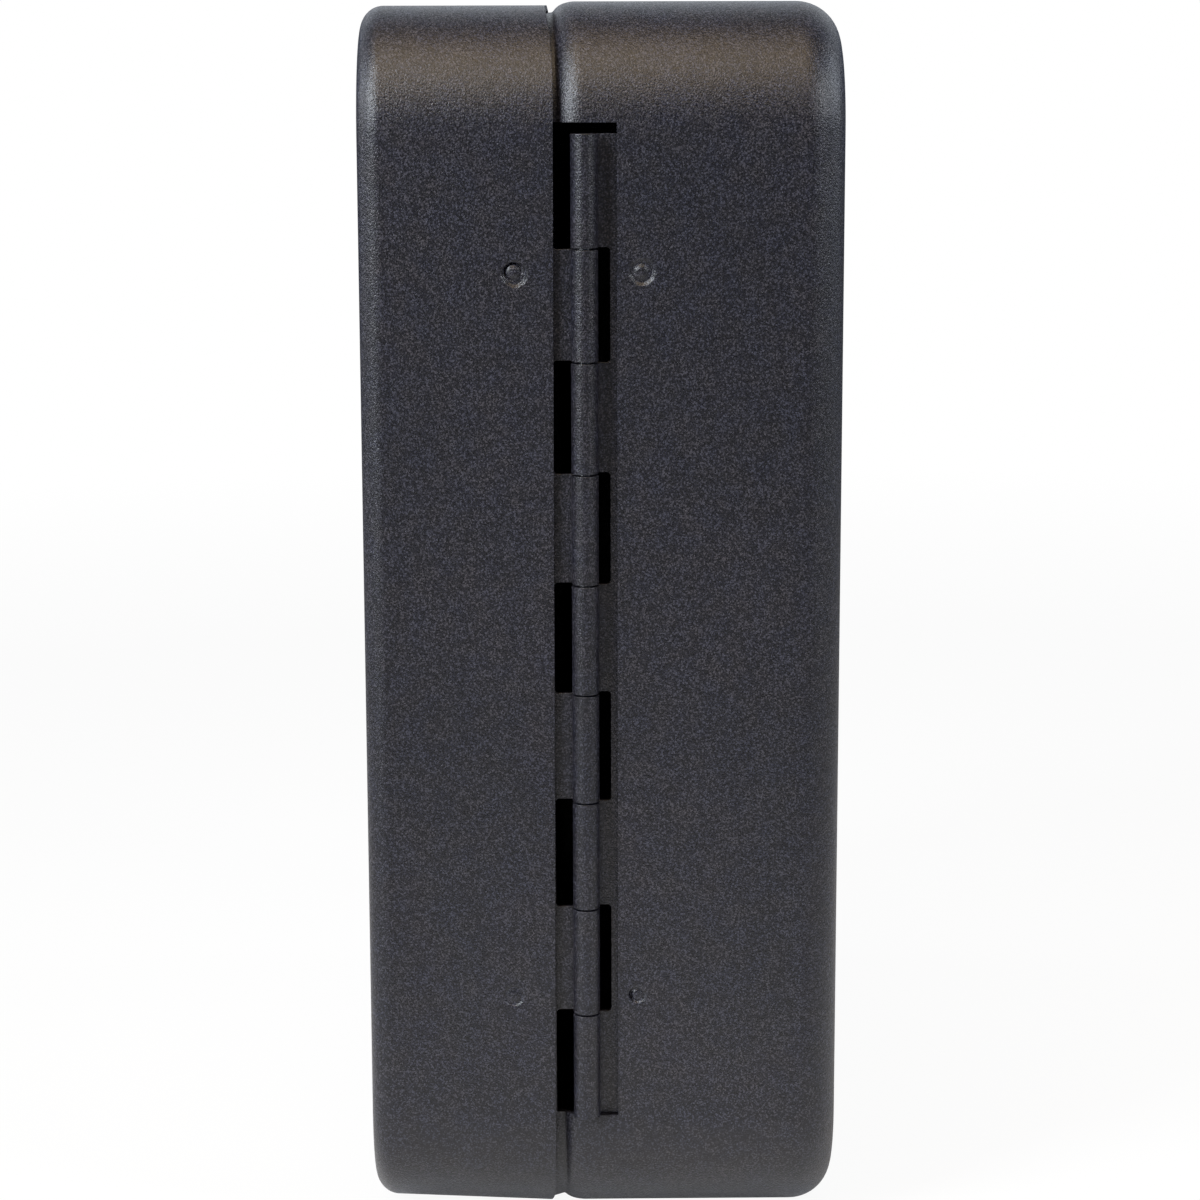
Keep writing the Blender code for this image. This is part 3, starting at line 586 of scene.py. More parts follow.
# Spot welds: a dish with a groove round a boss, each a little different
welds = {
    "z": hinge["length"] / 2 - 0.0209,
    "marks": {
        "doorUpper": {"y": -0.0521, "dish": 0.00046, "radius": 0.00185, "wall": 0.00022, "away": 0.00035,
                      "toward": 305, "boss": 0.00042, "bossRadius": 0.00114, "bossWall": 0.00008, "dome": 0.8,
                      "groove": 0.00050, "grooveRadius": 0.00132, "grooveWidth": 0.00013, "span": 0.9},
        "doorLower": {"y": -0.0529, "dish": 0.00034, "radius": 0.00155, "wall": 0.00024, "away": 0.00010,
                      "toward": 300, "boss": 0.00030, "bossRadius": 0.00105, "bossWall": 0.00030, "dome": 0.0,
                      "groove": 0.00004, "grooveRadius": 0.00150, "grooveWidth": 0.00020, "span": 1.0},
        "bodyUpper": {"y": -0.0321, "dish": 0.00046, "radius": 0.00185, "wall": 0.00030, "away": 0.00010,
                      "toward": 330, "boss": 0.00044, "bossRadius": 0.00095, "bossWall": 0.00042, "dome": 0.0,
                      "groove": 0.00004, "grooveRadius": 0.00160, "grooveWidth": 0.00020, "span": 1.0},
        "bodyLower": {"y": -0.0329, "dish": 0.00026, "radius": 0.00135, "wall": 0.00020, "away": 0.00020,
                      "toward": 20, "boss": 0.00022, "bossRadius": 0.00080, "bossWall": 0.00018, "dome": 0.0,
                      "groove": 0.00060, "grooveRadius": 0.00100, "grooveWidth": 0.00024, "span": 5.0},
    },
    "uneven": 0.04,
    "waves": (3, 8),
    "turnSteps": 72,
    "radialSteps": 60,
    "reach": 1.5,
    "skim": 0.00001,
}


# Relief under the wall, with walls like (1 - tanh((r - edge) / wall)) / 2: a dish round its own centre, whose
# edge wavers, less a boss that falls by dome r r to its edge, and a groove, bell-shaped like exp(-d d), which
# is deepest away from the dish and fades round the boss like ((1 - cos t) / 2) to the power span
def weldCutter(name, mark, z):
    steps, rows = welds["turnSteps"], welds["radialSteps"]
    turn = np.linspace(0, 2 * math.pi, steps, endpoint=False)[None, :]
    r = np.linspace(0, welds["reach"], rows)[1:, None] * mark["radius"]
    toward = math.radians(mark["toward"])
    u = r * np.cos(turn) - mark["away"] * math.cos(toward)
    v = r * np.sin(turn) - mark["away"] * math.sin(toward)
    slow, quick = welds["waves"]
    waver = (np.sin(slow * turn + toward) + np.sin(quick * turn)) / 2
    edge = mark["radius"] * (1 + welds["uneven"] * waver)
    dish = mark["dish"] * (1 - np.tanh((np.hypot(u, v) - edge) / mark["wall"])) / 2
    fall = 1 - mark["dome"] * np.minimum(r / mark["bossRadius"], 1) ** 2
    boss = mark["boss"] * fall * (1 - np.tanh((r - mark["bossRadius"]) / mark["bossWall"])) / 2
    bell = np.exp(-((r - mark["grooveRadius"]) / mark["grooveWidth"]) ** 2)
    groove = mark["groove"] * ((1 - np.cos(turn - toward)) / 2) ** mark["span"] * bell
    level = case["halfWidth"] - dish + boss - groove + welds["skim"]
    level = np.concatenate([level, np.full((1, steps), case["halfWidth"] + case["overrun"])])
    r = np.concatenate([r, r[-1:]])
    relief = np.stack([level, mark["y"] + r * np.cos(turn), z + r * np.sin(turn)], axis=-1)
    middle = (case["halfWidth"] - mark["dish"] + mark["boss"] + welds["skim"], mark["y"], z)
    points = np.vstack([relief.reshape(-1, 3), [middle]])
    faces = list(gridFaces(rows, steps, closeColumns=True))
    pole = len(points) - 1
    faces += [(pole, (k + 1) % steps, k) for k in range(steps)]
    faces.append(list(range((rows - 1) * steps, rows * steps)))
    return newObject(name, meshFrom(name, points, faces))


def makeBodyShell():
    spec = case
    name = "bodyShell"
    half = spec["halfHeight"]
    shell = newObject(name, panMesh(name, bodyPath(), 1, -half, half, spec["bodySlant"]))
    over = spec["overrun"]
    lip = -spec["bodyDepth"] - spec["lipReach"]
    inner = spec["halfWidth"] - spec["lipInset"] - spec["sheet"]
    notchEnd = hinge["notchReach"] - spec["bodyDepth"]
    low = (inner - over, lip - 2 * over, hingeBottom - hinge["notchBottomGap"])
    high = (spec["halfWidth"] + over, notchEnd, hingeTop + hinge["notchTopGap"])
    cutters = [boxCutter("notch", low, high)]
    for sideX in (1, -1):
        for sideZ in (1, -1):
            center = (spec["wallHole"][0] * sideX, spec["wallHole"][1] * sideZ)
            ring = arcPoints(center, spec["wallHoleRadius"], 0, 2 * math.pi, spec["holeSteps"])[:-1]
            cutters.append(newObject("hole", prismMesh("hole", ring, -2 * over, over, alongY)))
    cutters.append(weldCutter("weld", welds["marks"]["bodyUpper"], welds["z"]))
    cutters.append(weldCutter("weld", welds["marks"]["bodyLower"], -welds["z"]))
    cutAway(shell, cutters)
    finishEdges(shell, spec["edgeRound"])
    place(shell, "case", "painted_steel", "body_shell")


def makeDoorShell():
    spec = case
    name = "doorShell"
    high = spec["halfHeight"] - spec["topDrop"]
    low, rise = -spec["halfHeight"], spec["bottomDraft"]
    shell = newObject(name, panMesh(name, doorPath(), -1, low, high, spec["doorSlant"], rise))
    turn = math.acos(spec["lockHoleFlat"] / spec["lockHoleRadius"])
    upper = arcPoints((0, 0), spec["lockHoleRadius"], turn, math.pi - turn, spec["holeSteps"] // 2)
    ring = np.vstack([upper, -upper]) + (lockCenter[0], lockCenter[2])
    front, over = lockCenter[1], spec["overrun"]
    hole = newObject("hole", prismMesh("hole", ring, front - over, front + 2 * over, alongY))
    upperMark = weldCutter("weld", welds["marks"]["doorUpper"], welds["z"])
    lowerMark = weldCutter("weld", welds["marks"]["doorLower"], -welds["z"])
    cutAway(shell, [hole, upperMark, lowerMark])
    finishEdges(shell, spec["edgeRound"])
    place(shell, "door", "painted_steel", "door_shell")


makeBodyShell()
makeDoorShell()
print("stage: case")


# Leaf: a flat plate whose edge is rolled round the pin, side 1 towards the back, -1 towards the front
def makeLeaf(name, side, firstSlot, body, node):
    spec = hinge
    axisX, axisY = spec["axis"]
    start, end = math.pi, math.pi + side * spec["curl"]
    outer = arcPoints((0, 0), spec["outer"], start, end, spec["curlSteps"])
    inner = arcPoints((0, 0), spec["bore"], end, start, spec["curlSteps"])
    plate = side * spec["leafReach"]
    outline = np.vstack([[(-spec["outer"], plate)], outer, inner, [(-spec["bore"], plate)]])
    leaf = newObject(name, prismMesh(name, outline + spec["axis"], hingeBottom, hingeTop, alongZ))
    around = spec["outer"] + case["overrun"]
    pitch = spec["length"] / spec["knuckles"]
    cutters = []
    for index in range(firstSlot, spec["knuckles"], 2):
        top = hingeTop - index * pitch + spec["knuckleGap"] / 2
        bottom = top - pitch - spec["knuckleGap"]
        if index == 0:
            top += case["overrun"]
        if index == spec["knuckles"] - 1:
            bottom -= case["overrun"]
        reach, far = side * spec["slotReach"][side], -side * around
        corners = [(far, bottom), (reach, bottom), (reach, top), (far, top)]
        ring = roundedPath(corners, [spec["slotCorner"]] * 2, steps=5) + (axisY, 0)
        cutters.append(newObject("slot", prismMesh("slot", ring, axisX - around, axisX + around, alongX)))
    cutAway(leaf, cutters)
    finishEdges(leaf, spec["edgeRound"], segments=2)
    place(leaf, body, "painted_steel", node)


# Pin: a rod with chamfered ends
def makePin():
    spec = hinge
    radius, end = spec["pinRadius"], spec["endChamfer"]
    upper = [(radius - end, hingeTop), (radius, hingeTop - end)]
    lower = [(radius, hingeBottom + end), (radius - end, hingeBottom)]

    def placed(u, v, w):
        return np.stack([spec["axis"][0] + u, spec["axis"][1] + v, w], axis=-1)

    pin = newObject("hingePin", turnedMesh("hingePin", upper + lower, spec["pinSteps"], placed))
    evenShading(pin)
    place(pin, "case", "pin_steel", "hinge_pin")


makeLeaf("bodyHingeLeaf", 1, 1, "case", "body_hinge_leaf")
makeLeaf("doorHingeLeaf", -1, 0, "door", "door_hinge_leaf")
makePin()
print("stage: hinge")

# Cam lock: radii, and heights w in front of the door's face (under zero behind it)
lock = {
    "steps": 96,
    "edge": 0.0002,
    "plug": 0.0055,
    "bore": 0.0057,
    "barrel": 0.0080,
    "flat": 0.0068,
    "face": 0.0064,
    "recess": 0.0066,
    "recessFloor": 0.0006,
    "head": 0.0100,
    "headRound": 0.0009,
    "headTop": 0.0023,
    "seat": 0.0001,
    "faceTop": 0.0020,
    "faceBack": 0.0008,
    "barrelEnd": -0.0234,
    "drive": 0.0035,
    "driveEnd": -0.0252,
    "keywayWidth": 0.0020,
    "keywayHeight": 0.0078,
    "keywayWard": 0.0005,
    "keywayEnd": -0.0142,
    "screwHole": 0.0020,
    "screwHoleEnd": -0.0188,
}
thread = {"pitch": 0.00125, "depth": 0.00042, "low": -0.0230, "high": -0.0022, "rowsPerTurn": 10}
washer = {"outer": 0.0110, "hole": 0.0082, "top": -0.0011, "bottom": -0.0019}
nut = {
    "flats": 0.0100,
    "hole": 0.0082,
    "lead": 0.0004,
    "chamferStart": 0.0097,
    "chamfer": math.radians(28),
    "top": -0.0020,
    "bottom": -0.0060,
}
cam = {
    "hub": 0.0070,
    "tip": 0.0048,
    "reach": 0.0239,
    "hole": 0.0037,
    "front": -0.0235,
    "back": -0.0255,
    "edge": 0.00025,
}
camWasher = {"outer": 0.0055, "hole": 0.0020, "top": -0.0256, "bottom": -0.0264}
camScrew = {
    "radius": 0.0018,
    "head": 0.0038,
    "headRound": 0.0011,
    "headTop": -0.0265,
    "headEnd": -0.0287,
    "end": -0.0190,
    "slotWidth": 0.0010,
    "slotDepth": 0.0010,
}


# Lock coordinates: u across, v up, w out of the door
def lockPlace(u, v, w):
    x, y, z = lockCenter
    return np.stack([x + u, y - w, z + v], axis=-1)


# A prism along the lock's axis from an outline in u and v
def lockPrism(name, outline, low, high):
    x, y, z = lockCenter
    return newObject(name, prismMesh(name, np.asarray(outline) + (x, z), y - high, y - low, alongY))


def rectangle(halfU, halfV):
    return [(halfU, halfV), (-halfU, halfV), (-halfU, -halfV), (halfU, -halfV)]


# Threaded, double-flat barrel: under the crest by depth |2 f - 1|, with f the fractional part of
# w / pitch + t / 2 pi, and running out within a pitch of either end
def barrelShape(r, turn, w):
    spec = thread
    wave = np.abs(2 * ((w / spec["pitch"] + turn / (2 * math.pi)) % 1) - 1)
    runOut = np.clip(np.minimum(w - spec["low"], spec["high"] - w) / spec["pitch"], 0, 1)
    r = np.where(np.isclose(r, lock["barrel"]), r - spec["depth"] * wave * runOut, r)
    u = r * np.cos(turn)
    u = np.where(w < 0, np.clip(u, -lock["flat"], lock["flat"]), u)
    return u, r * np.sin(turn), w


def makeBarrel():
    spec = lock
    middle = spec["barrelEnd"] / 2
    corners = [
        (spec["bore"], middle),
        (spec["bore"], spec["recessFloor"]),
        (spec["recess"], spec["recessFloor"]),
        (spec["recess"], spec["headTop"]),
        (spec["head"], spec["headTop"]),
        (spec["head"], spec["seat"]),
        (spec["barrel"], spec["seat"]),
        (spec["barrel"], spec["barrelEnd"]),
        (spec["bore"], spec["barrelEnd"]),
        (spec["bore"], middle),
    ]
    small = spec["edge"] / 2
    radii = [small, small, spec["edge"], spec["headRound"], small, small, small, small]
    profile = roundedPath(corners, radii)[:-1]
    outside = np.flatnonzero(np.isclose(profile[:, 0], spec["barrel"]))
    threaded = densePath(profile[outside[0]:outside[-1] + 1], thread["pitch"] / thread["rowsPerTurn"])
    profile = np.vstack([profile[:outside[0]], threaded, profile[outside[-1] + 1:]])
    mesh = turnedMesh("lockBarrel", profile, spec["steps"], lockPlace, True, barrelShape)
    barrel = newObject("lockBarrel", mesh)
    evenShading(barrel, limit=35)
    place(barrel, "door", "lock_chrome", "lock_barrel")


# Keyway's outline: a slot with a ward on each side, one above the other, and the same when turned half round
def keywayOutline():
    half, tall, ward = lock["keywayWidth"] / 2, lock["keywayHeight"] / 2, lock["keywayWard"]
    low = -tall / 3
    side = [(half, -tall), (half, low - ward), (half - ward, low)]
    side += [(half - ward, 0), (half, ward), (half, tall)]
    return side + [(-u, -v) for u, v in side]


def makePlug():
    spec = lock
    corners = [
        (spec["screwHole"], spec["faceTop"]),
        (spec["face"], spec["faceTop"]),
        (spec["face"], spec["faceBack"]),
        (spec["plug"], spec["faceBack"]),
        (spec["plug"], spec["barrelEnd"]),
        (spec["screwHole"], spec["barrelEnd"]),
    ]
    small = spec["edge"] / 2
    profile = roundedPath(corners, [spec["edge"], small, small, small], steps=4)
    plug = newObject("lockPlug", turnedMesh("lockPlug", profile, spec["steps"], lockPlace))
    over = case["overrun"]
    square = rectangle(spec["drive"], spec["drive"])
    cutAway(plug, [lockPrism("drive", square, spec["driveEnd"], spec["barrelEnd"] + over)], "UNION")
    hole = arcPoints((0, 0), spec["screwHole"], 0, 2 * math.pi, spec["steps"] // 2)[:-1]
    cutAway(plug, [
        lockPrism("keyway", keywayOutline(), spec["keywayEnd"], spec["faceTop"] + over),
        lockPrism("screwHole", hole, spec["driveEnd"] - over, spec["screwHoleEnd"]),
    ])
    finishEdges(plug, spec["edge"] / 4, segments=2)
    place(plug, "lock_cylinder", "plug_steel", "lock_plug")


# A flat ring with its four edges rounded
def makeRing(name, spec, body, node):
    outer, hole, top, bottom = spec["outer"], spec["hole"], spec["top"], spec["bottom"]
    middle = (top + bottom) / 2
    corners = [(hole, middle), (hole, top), (outer, top), (outer, bottom), (hole, bottom), (hole, middle)]
    small = lock["edge"] / 2
    profile = roundedPath(corners, [small, lock["edge"], small, small], steps=4)[:-1]
    ring = newObject(name, turnedMesh(name, profile, lock["steps"], lockPlace, True))
    evenShading(ring)
    place(ring, body, "zinc_plate", node)


# Hexagon nut: the sides lie at flats / cos(a), with a within 30 degrees of a side's middle, and a cone takes
# the corners off
def makeNut():
    spec = nut
    turn = np.linspace(0, 2 * math.pi, lock["steps"], endpoint=False)
    sector = math.pi / 3
    side = spec["flats"] / np.cos((turn + sector / 2) % sector - sector / 2)
    drop = np.maximum(side - spec["chamferStart"], 0) * math.tan(spec["chamfer"])
    same = np.ones_like(turn)
    middle = (spec["top"] + spec["bottom"]) / 2
    rows = []
    for end, inward in ((spec["top"], -1), (spec["bottom"], 1)):
        half = [
            (spec["hole"] * same, (end + inward * spec["lead"]) * same),
            ((spec["hole"] + spec["lead"]) * same, end * same),
            (spec["chamferStart"] * same, end * same),
            (side, end + inward * drop),
        ]
        rows += half if inward < 0 else half[::-1]
    rows.insert(4, (side, middle * same))
    r, w = np.array([row[0] for row in rows]), np.array([row[1] for row in rows])
    points = lockPlace(r * np.cos(turn), r * np.sin(turn), w)
    faces = gridFaces(len(rows), len(turn), closeRows=True, closeColumns=True)
    obj = newObject("lockNut", meshFrom("lockNut", points.reshape(-1, 3), faces))
    evenShading(obj, limit=20)
    place(obj, "door", "zinc_plate", "lock_nut")


# Cam: a round hub and a round tip joined by their common tangents, with a square hole
def makeCam():
    spec = cam
    tipV = spec["tip"] - spec["reach"]
    lean = math.asin((spec["hub"] - spec["tip"]) / -tipV)
    hub = arcPoints((0, 0), spec["hub"], -lean, math.pi + lean, lock["steps"] // 2)
    tip = arcPoints((0, tipV), spec["tip"], math.pi + lean, 2 * math.pi - lean, lock["steps"] // 3)
    plate = lockPrism("lockCam", np.vstack([hub, tip]), spec["back"], spec["front"])
    over = case["overrun"]
    square = rectangle(spec["hole"], spec["hole"])
    cutAway(plate, [lockPrism("square", square, spec["back"] - over, spec["front"] + over)])
    finishEdges(plate, spec["edge"])
    place(plate, "lock_cylinder", "zinc_plate", "lock_cam")


def makeCamScrew():
    spec = camScrew
    corners = [
        (spec["radius"] / 2, spec["end"]),
        (spec["radius"], spec["end"]),
        (spec["radius"], spec["headTop"]),
        (spec["head"], spec["headTop"]),
        (spec["head"], spec["headEnd"]),
        (spec["radius"] / 2, spec["headEnd"]),
    ]
    small = lock["edge"] / 2
    profile = roundedPath(corners, [2 * small, small, small, spec["headRound"]], steps=8)
    screw = newObject("camScrew", turnedMesh("camScrew", profile, lock["steps"], lockPlace))
    over = case["overrun"]
    slot = rectangle(spec["slotWidth"] / 2, spec["head"] + over)
    cutAway(screw, [lockPrism("slot", slot, spec["headEnd"] - over, spec["headEnd"] + spec["slotDepth"])])
    finishEdges(screw, small / 2, segments=2)
    place(screw, "lock_cylinder", "zinc_plate", "cam_screw")


makeBarrel()
makePlug()
makeRing("lockWasher", washer, "door", "lock_washer")
makeNut()
makeCam()
makeRing("camWasher", camWasher, "lock_cylinder", "cam_washer")
makeCamScrew()
print("stage: lock")

# Keeper: a strip bent round one corner, in x and y
keeper = {
    "sheet": 0.0012,
    "plateX": -0.0763,
    "plateEndY": -0.0460,
    "flangeY": -0.0539,
    "flangeEndX": -0.0679,
    "bend": 0.0012,
    "halfHeight": 0.0130,
    "edge": 0.0002,
}


# A bent sheet's section: the path's offsets to both sides by half the sheet
def sheetSection(corners, bend, sheet, steps=8):
    path = roundedPath(corners, [bend] * (len(corners) - 2), steps)
    return np.vstack([offsetPath(path, sheet / 2), offsetPath(path, -sheet / 2)[::-1]])


def makeKeeper():
    spec = keeper
    corners = [
        (spec["plateX"], spec["plateEndY"]),
        (spec["plateX"], spec["flangeY"]),
        (spec["flangeEndX"], spec["flangeY"]),
    ]
    section = sheetSection(corners, spec["bend"], spec["sheet"])
    half = spec["halfHeight"]
    obj = newObject("lockKeeper", prismMesh("lockKeeper", section, -half, half, alongZ))
    finishEdges(obj, spec["edge"])
    place(obj, "case", "painted_steel", "lock_keeper")


makeKeeper()

# Hook strips: sections in y and z with five hooks, and their number cards
strip = {
    "sheet": 0.0010,
    "height": 0.0180,
    "halfWidth": 0.0650,
    "hooks": 5,
    "pitch": 0.0260,
    "hookWidth": 0.0050,
    "reach": 0.0125,
    "rise": 0.0075,
    "bend": 0.0015,
    "tipRound": 0.0016,
    "rootRound": 0.0010,
    "roundSteps": 6,
    "edge": 0.00018,
    "bodySeatY": -0.0011,
    "doorSeatY": -0.0752,
    "rows": {"upper": 0.0620, "lower": -0.0300},
}
card = {
    "height": 0.0090,
    "thickness": 0.0004,
    "margin": 0.0020,
    "gap": 0.0001,
    "corner": 0.0006,
    "cornerSteps": 5,
    "textHeight": 0.0052,
    "textLift": 0.00001,
    "textDepth": 0.00003,
    "textSteps": 4,
}
bodyOf = {"body": "case", "door": "door"}


# Space between two hooks, seen along y: rounded at its closed end, and flared over the tips' rounded corners
def gapOutline(left, right, low, high, closed):
    spec = strip
    radius = spec["rootRound"] if closed else spec["tipRound"]
    if closed:
        corners = [(left, low), (left, high), (right, high), (right, low)]
        return roundedPath(corners, [radius, radius], spec["roundSteps"])
    over = case["overrun"]
    leftArc = arcPoints((left - radius, high - radius), radius, 0, math.pi / 2, spec["roundSteps"])
    rightArc = arcPoints((right + radius, high - radius), radius, math.pi / 2, math.pi, spec["roundSteps"])
    top = [(left - radius, high + over), (right + radius, high + over)]
    return np.vstack([[(left, low)], leftArc, top, rightArc, [(right, low)]])


def makeStrip(part, row, seatY, side):
    spec = strip
    z = spec["rows"][row]
    half = spec["sheet"] / 2
    bottom = z - spec["height"] / 2
    tip = seatY + side * (spec["reach"] - half)
    corners = [
        (seatY + side * half, z + spec["height"] / 2),
        (seatY + side * half, bottom + half),
        (tip, bottom + half),
        (tip, bottom + spec["rise"]),
    ]
    name = part + "HookStrip" + row.capitalize()
    section = sheetSection(corners, spec["bend"], spec["sheet"])
    obj = newObject(name, prismMesh(name, section, -spec["halfWidth"], spec["halfWidth"], alongX))
    over = case["overrun"]
    edge = bottom + spec["sheet"] + spec["bend"]
    far = seatY + side * (spec["reach"] + over)
    through = sorted((seatY - side * over, far))
    ahead = sorted((seatY + side * (spec["sheet"] + over), far))
    cutters = []
    for index in range(spec["hooks"] + 1):
        left = (index - spec["hooks"] / 2 - 0.5) * spec["pitch"] + spec["hookWidth"] / 2
        right = left + spec["pitch"] - spec["hookWidth"]
        root = gapOutline(left, right, bottom - over, edge, True)
        tips = gapOutline(left, right, edge - over, bottom + spec["rise"], False)
        cutters.append(newObject("root", prismMesh("root", root, *through, alongY)))
        cutters.append(newObject("tips", prismMesh("tips", tips, *ahead, alongY)))
    cutAway(obj, cutters)
    finishEdges(obj, spec["edge"], segments=2, limit=40)
    place(obj, bodyOf[part], "painted_steel", f"{part}_hook_strip_{row}")


def makeCard(part, row, seatY, side):
    spec = card
    z = strip["rows"][row]
    name = part + "Label" + row.capitalize()
    high = z + strip["height"] / 2 - spec["margin"]
    low = high - spec["height"]
    halfWidth = strip["halfWidth"] - spec["margin"]
    corner, steps = spec["corner"], spec["cornerSteps"]
    outline = np.vstack([
        arcPoints((sideX * (halfWidth - corner), centerZ), corner, start, start + math.pi / 2, steps)
        for sideX, centerZ, start in (
            (1, high - corner, 0),
            (-1, high - corner, math.pi / 2),
            (-1, low + corner, math.pi),
            (1, low + corner, 3 * math.pi / 2),
        )
    ])
    back = seatY + side * (strip["sheet"] + spec["gap"])
    front = back + side * spec["thickness"]
    obj = newObject(name, prismMesh(name, outline, *sorted((back, front)), alongY))
    finishEdges(obj, spec["thickness"] / 5, segments=2)
    place(obj, bodyOf[part], "label_card", f"{part}_label_{row}")
    return front, (low + high) / 2


# Printed numbers, one above each hook, which read from the reader's left when they look at the strip
def makeNumbers(part, row, side, front, middleZ, first):
    spec = card
    points, faces = [], []
    for index in range(strip["hooks"]):
        text = bpy.data.curves.new("number", "FONT")
        text.body = str(first + index)
        text.size = spec["textHeight"]
        text.extrude = spec["textDepth"] / 2
        text.align_x, text.align_y = "CENTER", "CENTER"
        text.resolution_u = spec["textSteps"]
        guide = newObject("number", text)
        graph = bpy.context.evaluated_depsgraph_get()
        mesh = bpy.data.meshes.new_from_object(guide.evaluated_get(graph))
        flat = np.empty(len(mesh.vertices) * 3)
        mesh.vertices.foreach_get("co", flat)
        flat = flat.reshape(-1, 3)
        along = (index - (strip["hooks"] - 1) / 2) * strip["pitch"]
        x = -side * (flat[:, 0] + along)
        y = front + side * (flat[:, 2] + spec["textDepth"] / 2 + spec["textLift"])
        start = sum(len(group) for group in points)
        points.append(np.column_stack([x, y, flat[:, 1] + middleZ]))
        faces += [[start + corner for corner in face.vertices] for face in mesh.polygons]
        bpy.data.objects.remove(guide, do_unlink=True)
        bpy.data.curves.remove(text)
        bpy.data.meshes.remove(mesh)
    name = part + "Numbers" + row.capitalize()
    obj = newObject(name, meshFrom(name, np.vstack(points), faces))
    weld = obj.modifiers.new("weld", "WELD")
    weld.merge_threshold = spec["textLift"] / 10
    applyModifiers(obj)
    place(obj, bodyOf[part], "label_card", finish="print_ink")


number = 1
for part, seatY, side in (("body", strip["bodySeatY"], -1), ("door", strip["doorSeatY"], 1)):
    for row in ("upper", "lower"):
        makeStrip(part, row, seatY, side)
        front, middleZ = makeCard(part, row, seatY, side)
        makeNumbers(part, row, side, front, middleZ, number)
        number += strip["hooks"]
print("stage: hook strips")


# Studio: pale floor and backdrop, a warm softbox over the camera, cool ones to the left and behind, and a
# painted bounce glow from the floor round the cabinet
studio = {
    "floorSize": 12.0,
    "sheetReach": (0.14, 0.45),
    "sheetColor": (0.74, 0.20),
    "floorGlow": (0.93, 1.0),
    "glowReach": (0.25, 0.80),
    # sheetGlow: the floor near the cabinet glows for all but camera rays, as painted bounce light on the
    # cabinet
    "sheetGlow": 0.24,
    # shadeReach: the floor's glow fades out at the cabinet's foot, as a painted contact shadow
    "shadeReach": (0.090, 0.135),
    "worldColor": (0.048, 0.064, 0.110),
    "lamps": (
        ("softbox", (0.43, -0.12, 0.92), (0.05, -0.04, 0.0), (0.90, 0.80), 7.2, (1.0, 0.77, 0.48)),
        ("leftBox", (0.58, -0.68, 0.52), (0.05, -0.04, 0.0), (0.30, 0.70), 13.5, (0.88, 0.94, 1.0)),
        ("leftWash", (-0.20, -1.25, 0.45), (0.05, -0.04, 0.0), (0.5, 0.6), 6.0, (0.90, 0.94, 1.0)),
        ("rightBox", (-0.20, 1.15, 0.50), (0.05, -0.04, 0.0), (0.5, 0.6), 6.0, (0.84, 0.91, 1.0)),
        ("rightFill", (0.55, 0.80, 0.50), (0.05, -0.04, 0.0), (0.2, 0.4), 4.8, (0.90, 0.95, 1.0)),
        ("backWash", (-1.30, 0.00, 0.80), (0.0, -0.04, 0.05), (2.0, 1.0), 6.5, (0.90, 0.96, 1.0)),
    ),
}


def makeLamp(name, spot, target, size, power, color):
    data = bpy.data.lights.new(name, "AREA")
    data.shape = "RECTANGLE"
    data.size, data.size_y = size
    data.energy = power
    data.color = color
    obj = bpy.data.objects.new(name, data)
    look = Vector(target) - Vector(spot)
    obj.matrix_world = Matrix.Translation(spot) @ look.to_track_quat("-Z", "Y").to_matrix().to_4x4()
    obj.visible_camera = False
    scene.collection.objects.link(obj)


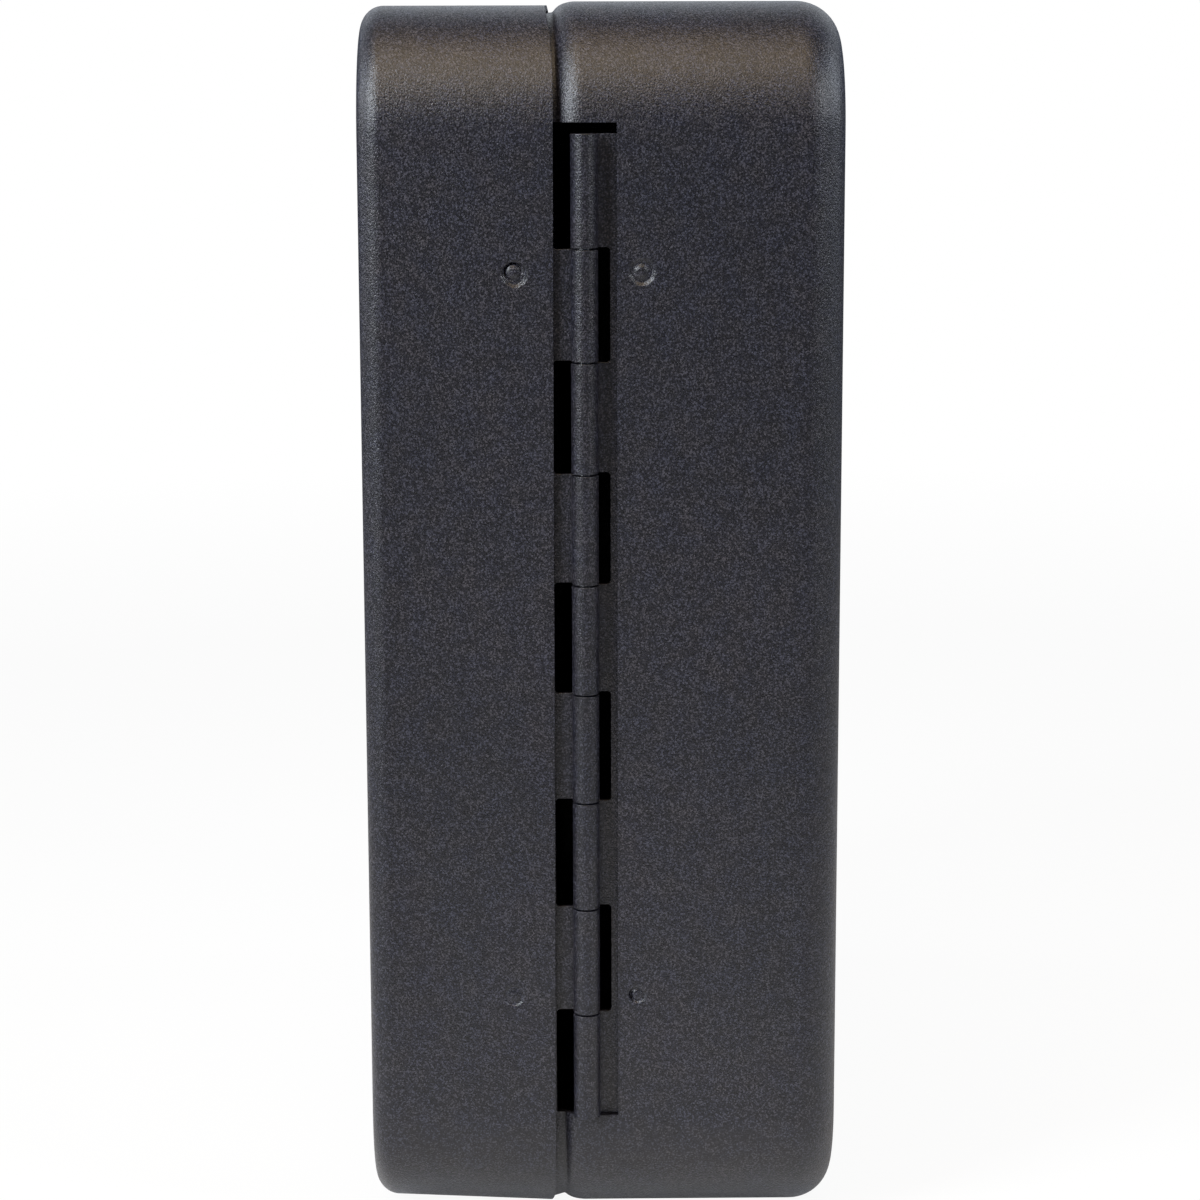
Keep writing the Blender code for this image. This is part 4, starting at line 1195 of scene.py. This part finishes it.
def makeFloor(spec):
    half = spec["floorSize"] / 2
    low = float(cadBox[0][2])
    corners = [(-half, -half, low), (half, -half, low), (half, half, low), (-half, half, low)]
    floor = newObject("floor", meshFrom("floor", corners, [(0, 1, 2, 3)]))
    material, tree = newMaterial("floor")
    output = addNode(tree, "ShaderNodeOutputMaterial")
    diffuse = addNode(tree, "ShaderNodeBsdfDiffuse")
    glow = addNode(tree, "ShaderNodeEmission")
    path = addNode(tree, "ShaderNodeLightPath")
    coords = addNode(tree, "ShaderNodeTexCoord")
    away = addNode(tree, "ShaderNodeVectorMath", operation="LENGTH")
    tree.links.new(coords.outputs["Object"], away.inputs[0])
    sheet = rangeOn(tree, away.outputs["Value"], *spec["sheetReach"], *spec["sheetColor"])
    tree.links.new(sheet, diffuse.inputs["Color"])
    seen = rangeOn(tree, away.outputs["Value"], *spec["glowReach"], *spec["floorGlow"])
    # painted bounce light: the floor's glow towards the cabinet, strongest near it and gone by the sheet's
    # reach
    paintedGlow = rangeOn(tree, away.outputs["Value"], *spec["sheetReach"], spec["sheetGlow"], 0)
    # painted contact shadow: the glow is faded to nothing right at the cabinet's foot
    shade = rangeOn(tree, away.outputs["Value"], *spec["shadeReach"], 0, 1)
    shaded = addNode(tree, "ShaderNodeMath", operation="MULTIPLY")
    tree.links.new(paintedGlow, shaded.inputs[0])
    tree.links.new(shade, shaded.inputs[1])
    share = addNode(tree, "ShaderNodeMix", data_type="FLOAT")
    mix = addNode(tree, "ShaderNodeMixShader")
    tree.links.new(path.outputs["Is Camera Ray"], share.inputs[0])
    tree.links.new(shaded.outputs[0], share.inputs[2])
    tree.links.new(seen, share.inputs[3])
    tree.links.new(share.outputs[0], mix.inputs[0])
    tree.links.new(diffuse.outputs[0], mix.inputs[1])
    tree.links.new(glow.outputs[0], mix.inputs[2])
    tree.links.new(mix.outputs[0], output.inputs[0])
    floor.data.materials.append(material)


def makeWorld(spec):
    world = bpy.data.worlds.new("studio")
    world.use_nodes = True
    tree = world.node_tree
    tree.nodes.clear()
    output = addNode(tree, "ShaderNodeOutputWorld")
    room = addNode(tree, "ShaderNodeBackground")
    room.inputs["Color"].default_value = (*spec["worldColor"], 1)
    white = addNode(tree, "ShaderNodeBackground")
    path = addNode(tree, "ShaderNodeLightPath")
    mix = addNode(tree, "ShaderNodeMixShader")
    tree.links.new(path.outputs["Is Camera Ray"], mix.inputs[0])
    tree.links.new(room.outputs[0], mix.inputs[1])
    tree.links.new(white.outputs[0], mix.inputs[2])
    tree.links.new(mix.outputs[0], output.inputs[0])
    white.inputs["Color"].default_value = (1, 1, 1, 1)
    scene.world = world


makeFloor(studio)
makeWorld(studio)
for lamp in studio["lamps"]:
    makeLamp(*lamp)
scene.view_settings.view_transform = "Standard"
print("stage: studio")

slotOf = {row["node"]: row["material_slot"] for row in frame["record"]["subparts"]}
for name, obj in nodes.items():
    obj.data.materials.clear()
    obj.data.materials.append(finishes[slotOf[name]])

print("stage: done")
